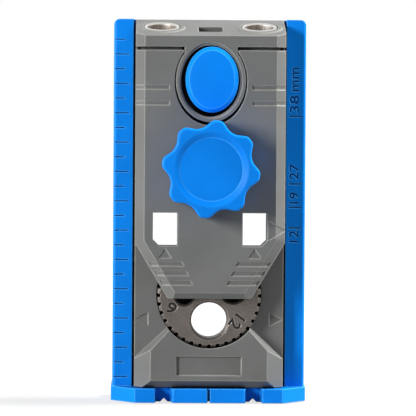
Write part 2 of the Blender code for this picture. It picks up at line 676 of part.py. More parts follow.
def carriage_body():
    half = CARRIAGE_HALF_WIDTH
    slab_up = (CARRIAGE_FOOT, FRAME_HEIGHT + OVER)
    body = block("carriage_body", (-half, half), slab_up, (CARRIAGE_BACK_RISE, LOW_RISE))
    chamfered = [
        (half, CARRIAGE_BACK_RISE),
        (half, FACE_RISE - SIDE_CHAMFER),
        (half - SIDE_CHAMFER, FACE_RISE),
    ]
    section = chamfered + mirrored(chamfered)
    join(body, from_above("top_block", section, PARTING_HEIGHT, FRAME_HEIGHT + OVER))
    housing_up = (HOUSING_BOTTOM, PARTING_HEIGHT + OVER)
    for side in (-1, 1):
        housing_x = sorted((side * HOUSING_INNER, side * HOUSING_OUTER))
        join(body, block("sleeve_housing", housing_x, housing_up, (LOW_RISE - OVER, HOUSING_RISE)))
    join(body, plateau())
    tab_up = (BEZEL_Z, PARTING_HEIGHT + OVER)
    tab_rise = (LOW_RISE - OVER, FACE_RISE)
    join(body, block("tab", (-BUTTON_HALF_WIDTH, BUTTON_HALF_WIDTH), tab_up, tab_rise))
    ring = oval(BEZEL_HALF_WIDTH, BEZEL_HALF_HEIGHT, up=BEZEL_Z)
    join(body, panel("bezel", [ring], *tab_rise))
    tongue_x = RAIL_INNER + GROOVE_DEPTH - GAP
    tongue_up = (CARRIAGE_FOOT + TONGUE_END, COVER_TOP - TONGUE_END)
    tongue_rise = (GROOVE_RISE + GAP, GROOVE_RISE + GROOVE_WIDTH - GAP)
    join(body, block("tongues", (-tongue_x, tongue_x), tongue_up, tongue_rise))
    cut(body, end_face_cutter())
    for side in (-1, 1):
        join(body, collar(side))
    for side in (-1, 1):
        bore = rod(
            "sleeve_seat",
            SLEEVE_RADIUS + GAP,
            -2 * SLEEVE_LENGTH,
            2 * COLLAR_HEIGHT,
            sides=48,
            turn=DRILL,
            place=drill_place(side),
        )
        cut(body, bore)
    place = (0.0, -CARRIAGE_BACK_RISE, FRAME_HEIGHT)
    pocket_x = (-END_POCKET_HALF_WIDTH, END_POCKET_HALF_WIDTH)
    pocket_y = (-END_POCKET_FAR, -END_POCKET_NEAR)
    pocket = block("end_pocket", pocket_x, pocket_y, (-END_POCKET_DEPTH, OVER), DRILL, place)
    cut(body, pocket)
    cut_button_well(body)
    cut_turret_pocket(body)
    cut_through_slots(body)
    for x, up in screw_places():
        cut(body, rod("screw_way", SCREW_RADIUS + GAP, 0.0, LOW_RISE + OVER, 16, place=(x, 0.0, up)))
        seat = CARRIAGE_BACK_RISE + GAP + SCREW_HEAD_HEIGHT + GAP
        cut(body, rod("screw_seat", SCREW_HEAD_RADIUS + GAP, 0.0, seat, 20, place=(x, 0.0, up)))
    recess = block(
        "label_recess",
        (-RECESS_HALF_WIDTH, RECESS_HALF_WIDTH),
        (RECESS_LOW, RECESS_HIGH),
        (PLATEAU_RISE - RECESS_DEPTH, PLATEAU_RISE + OVER),
    )
    cut(body, recess)
    for side in (-1, 1):
        cut(body, pointer(side, POINTER_HEIGHT, POINTER_LENGTH, DRILL_Z, LOW_RISE))
    return finish(body, grey)


def collar(side):
    """The raised ring round a sleeve's mouth."""
    profile = [
        (0.0, COLLAR_HEIGHT),
        (COLLAR_RADIUS - COLLAR_HEIGHT, COLLAR_HEIGHT),
        (COLLAR_RADIUS - COLLAR_HEIGHT / 3, COLLAR_HEIGHT * 2 / 3),
        (COLLAR_RADIUS, 0.0),
        (COLLAR_RADIUS, -OVER),
        (0.0, -OVER),
    ]
    return turned("collar", profile, sides=40, turn=DRILL, place=drill_place(side))


def cut_button_well(body):
    well = oval(BUTTON_HALF_WIDTH + WELL_GAP, BUTTON_HALF_HEIGHT + WELL_GAP, up=BEZEL_Z)
    cut(body, panel("well", [well], WELL_FLOOR_RISE, FACE_RISE + OVER))
    step_gap = WELL_GAP + BEZEL_STEP_WIDTH
    step = oval(BUTTON_HALF_WIDTH + step_gap, BUTTON_HALF_HEIGHT + step_gap, up=BEZEL_Z)
    cut(body, panel("bezel_step", [step], FACE_RISE - BEZEL_STEP, FACE_RISE + OVER))
    place = (BUTTON_OFFSET_X, 0.0, BUTTON_Z)
    cut(body, rod("stem_way", STEM_RADIUS + GAP, 0.0, FACE_RISE, 24, place=place))


def cut_turret_pocket(body):
    place = (0.0, 0.0, TURRET_Z)
    cut(body, rod("turret_pocket", POCKET_RADIUS, POCKET_FLOOR_RISE, FACE_RISE, 72, place=place))
    bore = DRILL_RADIUS + DRILL_CLEARANCE
    cut(body, rod("drill_way", bore, 0.0, FACE_RISE, 40, place=(0.0, 0.0, DRILL_Z)))
    cut(body, rod("pivot_seat", PIVOT_RADIUS + GAP, 0.0, FACE_RISE, 20, place=place))
    ball_bottom = CARRIAGE_BACK_RISE + OVER
    cut(body, rod("detent_bore", DETENT_RADIUS + GAP, ball_bottom, FACE_RISE, 20, place=detent_place()))


def cut_through_slots(body):
    """The openings behind the cover's windows, and the way of the clamp stud."""
    outer = WINDOW_OUTER + SLOT_MARGIN
    low = WINDOW_LOW - SLOT_MARGIN
    for side in (-1, 1):
        x = sorted((side * (WINDOW_INNER - SLOT_MARGIN / 2), side * outer))
        cut(body, block("window_slot", x, (low, WINDOW_HIGH + SLOT_MARGIN), (0.0, LOW_RISE + OVER)))
    place = (0.0, 0.0, KNOB_Z)
    cut(body, rod("stud_way", STUD_RADIUS + GAP, 0.0, LOW_RISE + OVER, 28, place=place))


def detent_place():
    angle = math.radians(DETENT_ANGLE)
    return (DETENT_CIRCLE * math.cos(angle), 0.0, TURRET_Z + DETENT_CIRCLE * math.sin(angle))


def screw_places():
    return [(side * SCREW_X, up) for up in SCREW_HEIGHTS for side in (-1, 1)]


# Front cover

def cover_outline():
    """Anticlockwise from the top right; its first side runs down the left."""
    left = [
        (-CARRIAGE_HALF_WIDTH, COVER_TOP),
        (-CARRIAGE_HALF_WIDTH, NOSE_SHOULDER),
        (-NOSE_TIP_HALF_WIDTH, NOSE_TIP),
    ]
    return left + mirrored(left)


def cover_window(side):
    """A window with one cut corner, low on its outer side."""
    outline = [
        (WINDOW_INNER, WINDOW_LOW),
        (WINDOW_OUTER - WINDOW_CORNER, WINDOW_LOW),
        (WINDOW_OUTER, WINDOW_LOW + WINDOW_CORNER),
        (WINDOW_OUTER, WINDOW_HIGH),
        (WINDOW_INNER, WINDOW_HIGH),
    ]
    return outline if side > 0 else mirrored(outline)


def front_cover():
    outline = cover_outline()
    widths = [SIDE_CHAMFER, NOSE_CHAMFER, NOSE_CHAMFER, NOSE_CHAMFER, SIDE_CHAMFER]
    face = inset(outline, widths + [0.0])
    shoulder = FACE_RISE - SIDE_CHAMFER
    cover = loft(
        "front_cover",
        [(COVER_LOW_RISE, outline), (shoulder, outline), (FACE_RISE, face)],
    )
    hollow = inset(outline, [COVER_WALL] * 5 + [-OVER])
    ceiling = inset(outline, [COVER_WALL + width for width in widths] + [-OVER])
    inner_shoulder = shoulder - COVER_WALL / 2
    cavity = loft(
        "cover_cavity",
        [(0.0, hollow), (inner_shoulder, hollow), (CEILING_RISE, ceiling)],
    )
    cut(cover, cavity)
    # The nose stops short of the turret, and the walls above it stand on the carriage.
    under_x = (-FRAME_HALF_WIDTH, FRAME_HALF_WIDTH)
    cut(cover, block("nose_clearance", under_x, (0.0, TURRET_Z + POCKET_RADIUS + GAP), (0.0, NOSE_RISE)))
    for side in (-1, 1):
        wall = inset(cover_window(side), [-WINDOW_WALL] * 5)
        join(cover, panel("window_wall", [wall], COVER_LOW_RISE, FACE_RISE - OVER))
    boss = STUD_RADIUS + GAP + BOSS_WALL
    knob_place = (0.0, 0.0, KNOB_Z)
    join(cover, rod("stud_boss", boss, COVER_LOW_RISE, FACE_RISE - OVER, 32, place=knob_place))
    for x, up in screw_places():
        post = rod("screw_post", SCREW_POST_RADIUS, COVER_LOW_RISE, FACE_RISE - OVER, 20, place=(x, 0.0, up))
        join(cover, post)
        hole_top = CARRIAGE_BACK_RISE + SCREW_LENGTH + 2 * GAP + SCREW_HEAD_HEIGHT
        cut(cover, rod("screw_hole", SCREW_RADIUS + GAP, 0.0, hole_top, 16, place=(x, 0.0, up)))
    cut(cover, rod("stud_way", STUD_RADIUS + GAP, 0.0, FACE_RISE + OVER, 28, place=knob_place))
    for side in (-1, 1):
        cut(cover, panel("window", [cover_window(side)], 0.0, FACE_RISE + OVER))
    opening_z = BEZEL_Z - BEZEL_OPENING_DROP
    opening = oval(BEZEL_HALF_WIDTH + BEZEL_GAP, BEZEL_HALF_HEIGHT + BEZEL_GAP, up=opening_z)
    cut(cover, panel("bezel_opening", [opening], 0.0, FACE_RISE + OVER))
    tab_x = (-BUTTON_HALF_WIDTH - GAP, BUTTON_HALF_WIDTH + GAP)
    cut(cover, block("tab_opening", tab_x, (BEZEL_Z, COVER_TOP + OVER), (0.0, FACE_RISE + OVER)))
    cut_cover_marks(cover, face)
    return finish(cover, grey)


def cut_cover_marks(cover, face):
    """The shallow bars, and the triangles under the windows."""
    floor = FACE_RISE - BAR_DEPTH
    above = FACE_RISE + OVER
    chamfer = (FACE_RISE - SIDE_CHAMFER, FACE_RISE)
    slant = (NOSE_SHOULDER - NOSE_TIP) / (CARRIAGE_HALF_WIDTH - NOSE_TIP_HALF_WIDTH)
    for side in (-1, 1):
        for drop in GRIP_BAR_DROPS:
            low = FRAME_HEIGHT - drop
            high = low + GRIP_BAR_HEIGHT
            reach = CARRIAGE_HALF_WIDTH + OVER
            across = [
                (GRIP_BAR_INNER, floor),
                (CARRIAGE_HALF_WIDTH - SIDE_CHAMFER, floor),
                (reach, chamfer[0] - BAR_DEPTH - OVER),
                (reach, above),
                (GRIP_BAR_INNER, above),
            ]
            across = across if side > 0 else mirrored(across)
            cut(cover, from_above("grip_bar", across, low, high))
        for i, low in enumerate(NOSE_BAR_LOWS):
            high = low + NOSE_BAR_HEIGHT
            inner = NOSE_BAR_INNER - i * NOSE_BAR_STEP
            lean = NOSE_BAR_HEIGHT / slant
            edge = face[3][0] + (low - face[3][1]) / slant
            bar = [(inner - lean / 2, low), (edge, low), (edge + lean, high), (inner + lean / 2, high)]
            bar = bar if side > 0 else mirrored(bar)
            cut(cover, panel("nose_bar", [bar], floor, above))
        middle = side * WINDOW_X
        tip = WINDOW_LOW - MARK_DROP
        triangle = [
            (middle, tip),
            (middle - MARK_WIDTH / 2, tip - MARK_HEIGHT),
            (middle + MARK_WIDTH / 2, tip - MARK_HEIGHT),
        ]
        cut(cover, panel("triangle", [triangle], FACE_RISE - MARK_DEPTH, above))


# Drill sleeves

def guide_sleeve(name, side):
    top = SLEEVE_PROUD
    mouth = SLEEVE_MOUTH
    profile = [
        (SLEEVE_BORE + mouth, top),
        (SLEEVE_RADIUS - mouth / 2, top),
        (SLEEVE_RADIUS, top - mouth / 2),
        (SLEEVE_RADIUS, -SLEEVE_LENGTH),
        (SLEEVE_BORE, -SLEEVE_LENGTH),
        (SLEEVE_BORE, top - mouth),
        (SLEEVE_BORE + mouth, top),
    ]
    sleeve = turned(name, profile, sides=40, turn=DRILL, place=drill_place(side))
    back = block(
        "sleeve_back",
        (-FRAME_HALF_WIDTH, FRAME_HALF_WIDTH),
        (0.0, 2 * FRAME_HEIGHT),
        (-FACE_RISE, CARRIAGE_BACK_RISE),
    )
    cut(sleeve, back)
    return finish(sleeve, steel)


# Turret

def turret_outline():
    """The rim with its flutes, as one outline about the turret's centre."""
    points = []
    pitch = 360.0 / TURRET_FLUTES
    half = pitch * TURRET_FLUTE_SHARE / 2
    floor = TURRET_RADIUS - TURRET_FLUTE_DEPTH
    for i in range(TURRET_FLUTES):
        middle = i * pitch
        corners = ((-half, floor), (half, floor), (half, TURRET_RADIUS), (pitch - half, TURRET_RADIUS))
        for turn, radius in corners:
            angle = math.radians(middle + turn)
            points.append((radius * math.cos(angle), radius * math.sin(angle)))
    return points


def dowel_turret():
    place = (0.0, 0.0, TURRET_Z)
    turret = panel("dowel_turret", [turret_outline()], TURRET_BACK_RISE, TURRET_FACE_RISE, place=place)
    edge_radius = TURRET_RADIUS + TURRET_EDGE
    rounded = rod(
        "turret_edge",
        edge_radius + TURRET_THICKNESS,
        TURRET_BACK_RISE - OVER,
        TURRET_FACE_RISE + TURRET_EDGE,
        72,
        place=place,
        tip=TURRET_RADIUS - 2 * TURRET_EDGE,
    )
    change(turret, rounded, "INTERSECT")
    for angle, bore in TURRET_HOLES:
        turn = math.radians(angle)
        x = TURRET_HOLE_CIRCLE * math.cos(turn)
        up = TURRET_Z + TURRET_HOLE_CIRCLE * math.sin(turn)
        radius = bore / 2
        sink = TURRET_COUNTERSINK
        profile = [
            (0.0, TURRET_FACE_RISE + OVER),
            (radius + sink + OVER, TURRET_FACE_RISE + OVER),
            (radius, TURRET_FACE_RISE - sink),
            (radius, TURRET_BACK_RISE - OVER),
            (0.0, TURRET_BACK_RISE - OVER),
        ]
        cut(turret, turned("turret_hole", profile, sides=36, place=(x, 0.0, up)))
    blind = TURRET_FACE_RISE - PIVOT_COVER
    cut(turret, rod("pivot_bore", PIVOT_RADIUS + GAP, 0.0, blind, 20, place=place))
    for angle, bore in TURRET_HOLES:
        turn = math.radians(DETENT_ANGLE + angle - DRILLING_ANGLE)
        spot = (DETENT_CIRCLE * math.cos(turn), 0.0, TURRET_Z + DETENT_CIRCLE * math.sin(turn))
        dimple = rod(
            "dimple",
            DETENT_RADIUS + OVER,
            TURRET_BACK_RISE - OVER,
            TURRET_BACK_RISE + OVER,
            16,
            place=spot,
            tip=DETENT_DIMPLE_TIP,
        )
        cut(turret, dimple)
    return finish(turret, turret_metal)


def turret_pieces():
    place = (0.0, 0.0, TURRET_Z)
    low = CARRIAGE_BACK_RISE + GAP
    high = TURRET_FACE_RISE - PIVOT_COVER - GAP
    pin = rod("turret_pivot_pin", PIVOT_RADIUS, low, high, 20, place=place)
    finish(pin, steel)
    top = TURRET_BACK_RISE - GAP
    around = arc(0.0, top - DETENT_RADIUS, DETENT_RADIUS, 90.0, -90.0, steps=8)[1:-1]
    ball_profile = [(0.0, top), *around, (0.0, top - 2 * DETENT_RADIUS)]
    finish(turned("turret_detent_ball", ball_profile, sides=16, place=detent_place()), steel)
    spring_top = top - 2 * DETENT_RADIUS - GAP
    spring_low = spring_top - DETENT_SPRING_LENGTH
    spring = coil(
        "turret_detent_spring",
        DETENT_SPRING_RADIUS,
        DETENT_SPRING_WIRE,
        spring_low,
        spring_top,
        DETENT_SPRING_TURNS,
        detent_place(),
    )
    finish(spring, steel)


# Clamp

def knob_outline():
    """Eight blunt lobes with hollow flanks; each lobe is a few points of a smooth wave."""
    steps = 8
    points = []
    for i in range(KNOB_LOBES * steps):
        share = i / steps
        angle = math.radians(KNOB_LOBE_TURN + 360.0 * share / KNOB_LOBES)
        wave = 0.5 + 0.5 * math.cos(2 * math.pi * share)
        blunt = min(1.0, KNOB_LOBE_BLUNT * wave ** KNOB_LOBE_POWER)
        radius = KNOB_VALLEY + (KNOB_TIP - KNOB_VALLEY) * blunt
        points.append((radius * math.cos(angle), radius * math.sin(angle)))
    return points


def clamp_knob():
    place = (0.0, 0.0, KNOB_Z)
    top = KNOB_RISE + KNOB_HEIGHT
    knob = panel("clamp_knob", [knob_outline()], KNOB_RISE, top, edge=KNOB_EDGE, place=place)
    dish = [
        (0.0, top + OVER),
        (KNOB_DISH_RADIUS + OVER, top + OVER),
        (KNOB_DISH_RADIUS, top),
        (KNOB_DISH_FLOOR, top - KNOB_DISH_DEPTH),
        (0.0, top - KNOB_DISH_DEPTH),
    ]
    cut(knob, turned("knob_dish", dish, sides=48, place=place))
    hollow_top = KNOB_RISE + KNOB_HOLLOW_DEPTH
    hollow = [
        (KNOB_HOLLOW_INNER, hollow_top),
        (KNOB_HOLLOW_OUTER, hollow_top),
        (KNOB_HOLLOW_OUTER, KNOB_RISE - OVER),
        (KNOB_HOLLOW_INNER, KNOB_RISE - OVER),
        (KNOB_HOLLOW_INNER, hollow_top),
    ]
    cut(knob, turned("knob_hollow", hollow, sides=40, place=place))
    bore_top = KNOB_RISE + STUD_GRIP + GAP
    cut(knob, rod("stud_bore", STUD_RADIUS + GAP, KNOB_RISE - OVER, bore_top, 28, place=place))
    return finish(knob, blue)


def clamp_pieces():
    place = (0.0, 0.0, KNOB_Z)
    stud = rod("clamp_stud", STUD_RADIUS, STUD_TAIL, KNOB_RISE + STUD_GRIP, 28, place=place)
    finish(stud, zinc)
    washer_top = WASHER_RISE + WASHER_THICKNESS
    washer = rod("clamp_washer", WASHER_RADIUS, WASHER_RISE, washer_top, 36, place=place)
    cut(washer, rod("washer_hole", STUD_RADIUS + GAP, 0.0, washer_top + OVER, 28, place=place))
    finish(washer, zinc)
    nut_x = (-NUT_HALF_WIDTH, NUT_HALF_WIDTH)
    nut_up = (-NUT_HALF_LENGTH, NUT_HALF_LENGTH)
    nut_rise = (NUT_TOP_RISE - NUT_THICKNESS, NUT_TOP_RISE)
    nut = block("clamp_nut", nut_x, nut_up, nut_rise, place=place)
    cut(nut, rod("nut_thread", STUD_RADIUS + GAP, -OVER, CHANNEL_DEPTH, 28, place=place))
    finish(nut, zinc)


# Release button

def release_button():
    place = (BUTTON_OFFSET_X, 0.0, BUTTON_Z)
    cap = oval(BUTTON_HALF_WIDTH, BUTTON_HALF_HEIGHT)
    low = BUTTON_BOTTOM_RISE
    button = panel("release_button", [cap], low, BUTTON_TOP_RISE, edge=BUTTON_EDGE, place=place)
    stem_end = BRAKE_TOP_RISE + GAP
    join(button, rod("stem", STEM_RADIUS, stem_end, low + OVER, 24, place=place))
    hole_top = stem_end + BRAKE_SCREW_LENGTH
    cut(button, rod("stem_thread", BRAKE_SCREW_RADIUS + GAP, 0.0, hole_top, 16, place=place))
    return finish(button, blue)


def button_pieces():
    place = (BUTTON_OFFSET_X, 0.0, BUTTON_Z)
    low = WELL_FLOOR_RISE + GAP
    high = BUTTON_BOTTOM_RISE - GAP
    spring = coil("button_spring", SPRING_RADIUS, SPRING_WIRE, low, high, SPRING_TURNS, place)
    finish(spring, steel)
    bar_half = CHANNEL_HALF_WIDTH - GAP
    bar_x = (-bar_half - BUTTON_OFFSET_X, bar_half - BUTTON_OFFSET_X)
    bar_up = (BRAKE_OVERHANG - BRAKE_LENGTH, BRAKE_OVERHANG)
    bar_rise = (BRAKE_TOP_RISE - BRAKE_THICKNESS, BRAKE_TOP_RISE)
    bar = block("brake_bar", bar_x, bar_up, bar_rise, place=place)
    sink = [
        (0.0, BRAKE_TOP_RISE + OVER),
        (BRAKE_SCREW_RADIUS + GAP, BRAKE_TOP_RISE + OVER),
        (BRAKE_SCREW_RADIUS + GAP, bar_rise[1] - GAP),
        (BRAKE_SCREW_HEAD + GAP, bar_rise[0]),
        (BRAKE_SCREW_HEAD + GAP, bar_rise[0] - OVER),
        (0.0, bar_rise[0] - OVER),
    ]
    cut(bar, turned("bar_hole", sink, sides=20, place=place))
    finish(bar, zinc)
    head = bar_rise[0] + GAP
    screw_top = BRAKE_TOP_RISE + BRAKE_SCREW_LENGTH
    shank = [
        (0.0, screw_top),
        (BRAKE_SCREW_RADIUS, screw_top),
        (BRAKE_SCREW_RADIUS, bar_rise[1] - GAP),
        (BRAKE_SCREW_HEAD, head),
        (BRAKE_SCREW_HEAD, head - GAP),
        (0.0, head - GAP),
    ]
    finish(turned("brake_screw", shank, sides=20, place=place), zinc)


# Cover screws

def cover_screws():
    head_low = CARRIAGE_BACK_RISE + GAP
    head_high = head_low + SCREW_HEAD_HEIGHT
    tip = head_high + SCREW_LENGTH
    profile = [
        (0.0, tip),
        (SCREW_RADIUS, tip),
        (SCREW_RADIUS, head_high),
        (SCREW_HEAD_RADIUS, head_high),
        (SCREW_HEAD_RADIUS, head_low),
        (0.0, head_low),
    ]
    for i, (x, up) in enumerate(screw_places(), start=1):
        screw = turned(f"cover_screw_{i}", profile, sides=20, place=(x, 0.0, up))
        drive = rod("drive", SCREW_RADIUS, 0.0, head_low + SCREW_HEAD_HEIGHT / 2, 6, place=(x, 0.0, up))
        cut(screw, drive)
        finish(screw, zinc)


base_frame()
carriage_body()
front_cover()
guide_sleeve("guide_sleeve_left", -1)
guide_sleeve("guide_sleeve_right", 1)
dowel_turret()
turret_pieces()
clamp_knob()
clamp_pieces()
release_button()
button_pieces()
cover_screws()
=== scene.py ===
import math

import bmesh
import bpy
from mathutils import Matrix, Vector


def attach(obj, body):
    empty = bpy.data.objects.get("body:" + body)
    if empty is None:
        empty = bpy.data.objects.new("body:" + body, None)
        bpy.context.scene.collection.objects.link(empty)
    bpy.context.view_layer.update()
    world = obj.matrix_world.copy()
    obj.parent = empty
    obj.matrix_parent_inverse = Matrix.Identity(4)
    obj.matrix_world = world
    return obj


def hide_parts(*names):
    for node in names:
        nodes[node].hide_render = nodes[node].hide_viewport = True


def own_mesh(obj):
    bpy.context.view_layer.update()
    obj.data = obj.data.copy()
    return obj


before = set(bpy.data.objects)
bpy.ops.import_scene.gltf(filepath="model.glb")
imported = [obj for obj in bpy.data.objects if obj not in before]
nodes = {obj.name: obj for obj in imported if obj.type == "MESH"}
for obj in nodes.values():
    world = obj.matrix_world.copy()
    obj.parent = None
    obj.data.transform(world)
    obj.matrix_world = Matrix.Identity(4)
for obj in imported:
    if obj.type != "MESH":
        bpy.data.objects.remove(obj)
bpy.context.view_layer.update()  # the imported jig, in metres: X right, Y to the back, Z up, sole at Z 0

mm = 0.001
workFaceTilt = math.radians(15.0)  # the drill axes lean this far from the rails


# small helpers: selecting, placing, booleans

def deselectAll():
    if bpy.context.mode != "OBJECT":
        bpy.ops.object.mode_set(mode="OBJECT")
    bpy.ops.object.select_all(action="DESELECT")


def makeActive(piece):
    deselectAll()
    piece.select_set(True)
    bpy.context.view_layer.objects.active = piece
    return piece


def editMode(piece, kind="VERT"):
    makeActive(piece)
    bpy.ops.object.mode_set(mode="EDIT")
    bpy.ops.mesh.select_mode(type=kind)
    bpy.ops.mesh.select_all(action="DESELECT")
    return bmesh.from_edit_mesh(piece.data)


def pick(piece, test, kind="VERT"):
    # selects vertices, edges or faces by a test on the element itself
    bpy.ops.mesh.select_mode(type=kind)
    bpy.ops.mesh.select_all(action="DESELECT")
    shape = bmesh.from_edit_mesh(piece.data)
    elements = {"VERT": shape.verts, "EDGE": shape.edges, "FACE": shape.faces}[kind]
    found = 0
    for element in elements:
        if test(element):
            element.select_set(True)
            found += 1
    shape.select_flush_mode()
    bmesh.update_edit_mesh(piece.data)
    return found


def newPiece(name):
    piece = bpy.context.view_layer.objects.active
    piece.name = name
    piece.data.name = name
    return makeActive(piece)


def standUp(piece, x=0.0, z=0.0):
    # pieces are drawn lying on their backs, so their height becomes the rise towards the viewer
    makeActive(piece)
    piece.rotation_euler = (math.radians(90.0), 0.0, 0.0)
    piece.location = (x * mm, 0.0, z * mm)
    bpy.ops.object.transform_apply(location=True, rotation=True, scale=True)
    return piece


def applyModifier(piece, kind, **settings):
    makeActive(piece)
    step = piece.modifiers.new(kind.title(), kind)
    for key, value in settings.items():
        setattr(step, key, value)
    bpy.ops.object.modifier_apply(modifier=step.name)
    return piece


def carve(piece, tool, operation="DIFFERENCE"):
    # the tool is used up; faces that it leaves keep its material slot number
    applyModifier(piece, "BOOLEAN", object=tool, operation=operation, solver="EXACT")
    bpy.data.objects.remove(tool, do_unlink=True)
    return piece


def joinPieces(pieces, name):
    deselectAll()
    for piece in pieces:
        piece.select_set(True)
    bpy.context.view_layer.objects.active = pieces[0]
    bpy.ops.object.join()
    return newPiece(name)


def outward(piece):
    editMode(piece)
    bpy.ops.mesh.select_all(action="SELECT")
    bpy.ops.mesh.remove_doubles(threshold=0.002 * mm)
    bpy.ops.mesh.normals_make_consistent(inside=False)
    bpy.ops.object.mode_set(mode="OBJECT")
    return piece


def atLevel(level):
    # a test for edges that lie at this height, in mm
    return lambda edge: all(abs(v.co.z - level * mm) < 0.01 * mm for v in edge.verts)


def bevelPicked(width, segments):
    bpy.ops.mesh.bevel(offset=width * mm, offset_type="OFFSET", segments=segments, profile=0.5,
                       clamp_overlap=True)


def raisePicked(height):
    bpy.ops.mesh.extrude_region_move(TRANSFORM_OT_translate={"value": (0, 0, height * mm)})


def addDisc(name, corners, radius, level):
    # a flat disc at a height, in mm, the start of a piece that lies on its back
    bpy.ops.mesh.primitive_circle_add(vertices=corners, radius=radius * mm, fill_type="NGON",
                                      location=(0, 0, level * mm))
    piece = newPiece(name)
    bpy.ops.object.transform_apply(location=True, rotation=True, scale=True)
    return piece


def smooth(piece, angle=32.0):
    makeActive(piece)
    bpy.ops.object.shade_smooth_by_angle(angle=math.radians(angle))
    applyModifier(piece, "WEIGHTED_NORMAL", mode="FACE_AREA", keep_sharp=True, weight=90)
    return piece


def drawLine(name, profile):
    # a profile of (radius, height) in mm, drawn one vertex at a time and left in edit mode
    bpy.ops.mesh.primitive_plane_add(size=mm, location=(0.0, 0.0, 0.0))
    piece = newPiece(name)
    editMode(piece)
    bpy.ops.mesh.select_all(action="SELECT")
    bpy.ops.mesh.merge(type="CENTER")
    here = Vector((profile[0][0] * mm, 0.0, profile[0][1] * mm))
    bpy.ops.transform.translate(value=here)
    for radius, height in profile[1:]:
        there = Vector((radius * mm, 0.0, height * mm))
        bpy.ops.mesh.extrude_vertices_move(TRANSFORM_OT_translate={"value": there - here})
        here = there
    return piece


def spun(name, profile, steps):
    # such a profile spun about Z
    piece = drawLine(name, profile)
    bpy.ops.mesh.select_all(action="SELECT")
    bpy.ops.mesh.spin(steps=steps, angle=math.radians(360.0), center=(0, 0, 0), axis=(0, 0, 1))
    bpy.ops.object.mode_set(mode="OBJECT")
    return outward(piece)


def cutFlat(piece, place, normal, **cleared):
    # cuts a piece along a plane, clears one side and caps the other
    editMode(piece)
    bpy.ops.mesh.select_all(action="SELECT")
    bpy.ops.mesh.bisect(plane_co=place, plane_no=normal, use_fill=True, **cleared)
    bpy.ops.object.mode_set(mode="OBJECT")


def phaseOf(vertex, count, phases):
    # how far a rim vertex is from the middle of its lobe or flute, the same on both sides
    turn = round(math.degrees(math.atan2(vertex.co.y, vertex.co.x)) * count / 360.0) % phases
    return min(turn, phases - turn)


def plugTool(name, radius, low, high, steps):
    # a plain round plug between two heights, in mm
    return spun(name, [(0.0, high), (radius, high), (radius, low), (0.0, low)], steps)


def boxTool(x, up, rise, name="tool"):
    # a block between two values of x, of height and of rise, in mm
    middle = ((x[0] + x[1]) / 2 * mm, -(rise[0] + rise[1]) / 2 * mm, (up[0] + up[1]) / 2 * mm)
    bpy.ops.mesh.primitive_cube_add(size=1.0, location=middle)
    tool = newPiece(name)
    tool.scale = ((x[1] - x[0]) * mm, (rise[1] - rise[0]) * mm, (up[1] - up[0]) * mm)
    bpy.ops.object.transform_apply(location=True, rotation=True, scale=True)
    return tool


def prismTool(outline, rise, name):
    # a flat outline of (x, z) in mm, filled and extruded between two rises
    bpy.ops.mesh.primitive_circle_add(vertices=len(outline), radius=mm, fill_type="NGON")
    tool = newPiece(name)
    for vertex, (x, up) in zip(tool.data.vertices, outline):
        vertex.co = (x * mm, -rise[0] * mm, up * mm)
    editMode(tool)
    bpy.ops.mesh.select_all(action="SELECT")
    move = {"value": (0.0, (rise[0] - rise[1]) * mm, 0.0)}
    bpy.ops.mesh.extrude_region_move(TRANSFORM_OT_translate=move)
    bpy.ops.object.mode_set(mode="OBJECT")
    return outward(tool)


def layFlat(tool, rise=0.0):
    # a prism drawn in x and rise is turned, so that its length runs up the jig
    tool.data.transform(Matrix(((1, 0, 0, 0), (0, 0, -1, -rise * mm), (0, 1, 0, 0), (0, 0, 0, 1))))
    return outward(tool)


def ovalOutline(x, z, halfWidth, halfHeight, count=96):
    angles = [2.0 * math.pi * i / count for i in range(count)]
    return [(x + halfWidth * math.cos(a), z + halfHeight * math.sin(a)) for a in angles]


def wedgeTool(profile, start, end):
    # a profile of (distance to the left of the line, rise), run along the line from start to end
    length = math.hypot(end[0] - start[0], end[1] - start[1])
    along = ((end[0] - start[0]) / length, (end[1] - start[1]) / length)
    across = (-along[1], along[0])
    tool = prismTool(profile, (0.0, length), "wedge")
    turn = ((across[0], -along[0], 0.0, start[0] * mm), (0.0, 0.0, -1.0, 0.0),
            (across[1], -along[1], 0.0, start[1] * mm), (0.0, 0.0, 0.0, 1.0))
    tool.data.transform(Matrix(turn))
    return outward(tool)


def numberTool(words, centre, size, turn, rise, bold=0.0):
    # plain figures as a cutter: size is (along the words, height of a figure) in mm
    bpy.ops.object.text_add(location=(0.0, 0.0, 0.0))
    typed = newPiece("number")
    typed.data.body = words
    typed.data.size = 1.0
    typed.data.extrude = 0.5
    typed.data.resolution_u = 3
    typed.data.offset = bold
    bpy.ops.object.convert(target="MESH")
    tool = newPiece("number")
    corners = [vertex.co for vertex in tool.data.vertices]
    low = Vector([min(c[i] for c in corners) for i in range(3)])
    high = Vector([max(c[i] for c in corners) for i in range(3)])
    wanted = (size[0] * mm, size[1] * mm, (rise[1] - rise[0]) * mm)
    scale = [wanted[i] / (high[i] - low[i]) for i in range(3)]
    fit = Matrix.Diagonal((*scale, 1.0)) @ Matrix.Translation(-(low + high) / 2)
    place = Matrix.Translation((centre[0] * mm, -(rise[0] + rise[1]) / 2 * mm, centre[1] * mm))
    upright = Matrix.Rotation(math.radians(90.0), 4, "X") @ Matrix.Rotation(math.radians(turn), 4, "Z")
    tool.data.transform(place @ upright @ fit)
    return outward(tool)


# camera

cameraView = {
    "target": (-0.4, -12.5, 65.75),  # mm
    "distance": 1080.0,
    "yaw": 1.2, "pitch": 1.6, "roll": -0.38,  # degrees
    "focalPixels": 3167.0, "framePixels": 416.0, "sensor": 36.0,
}


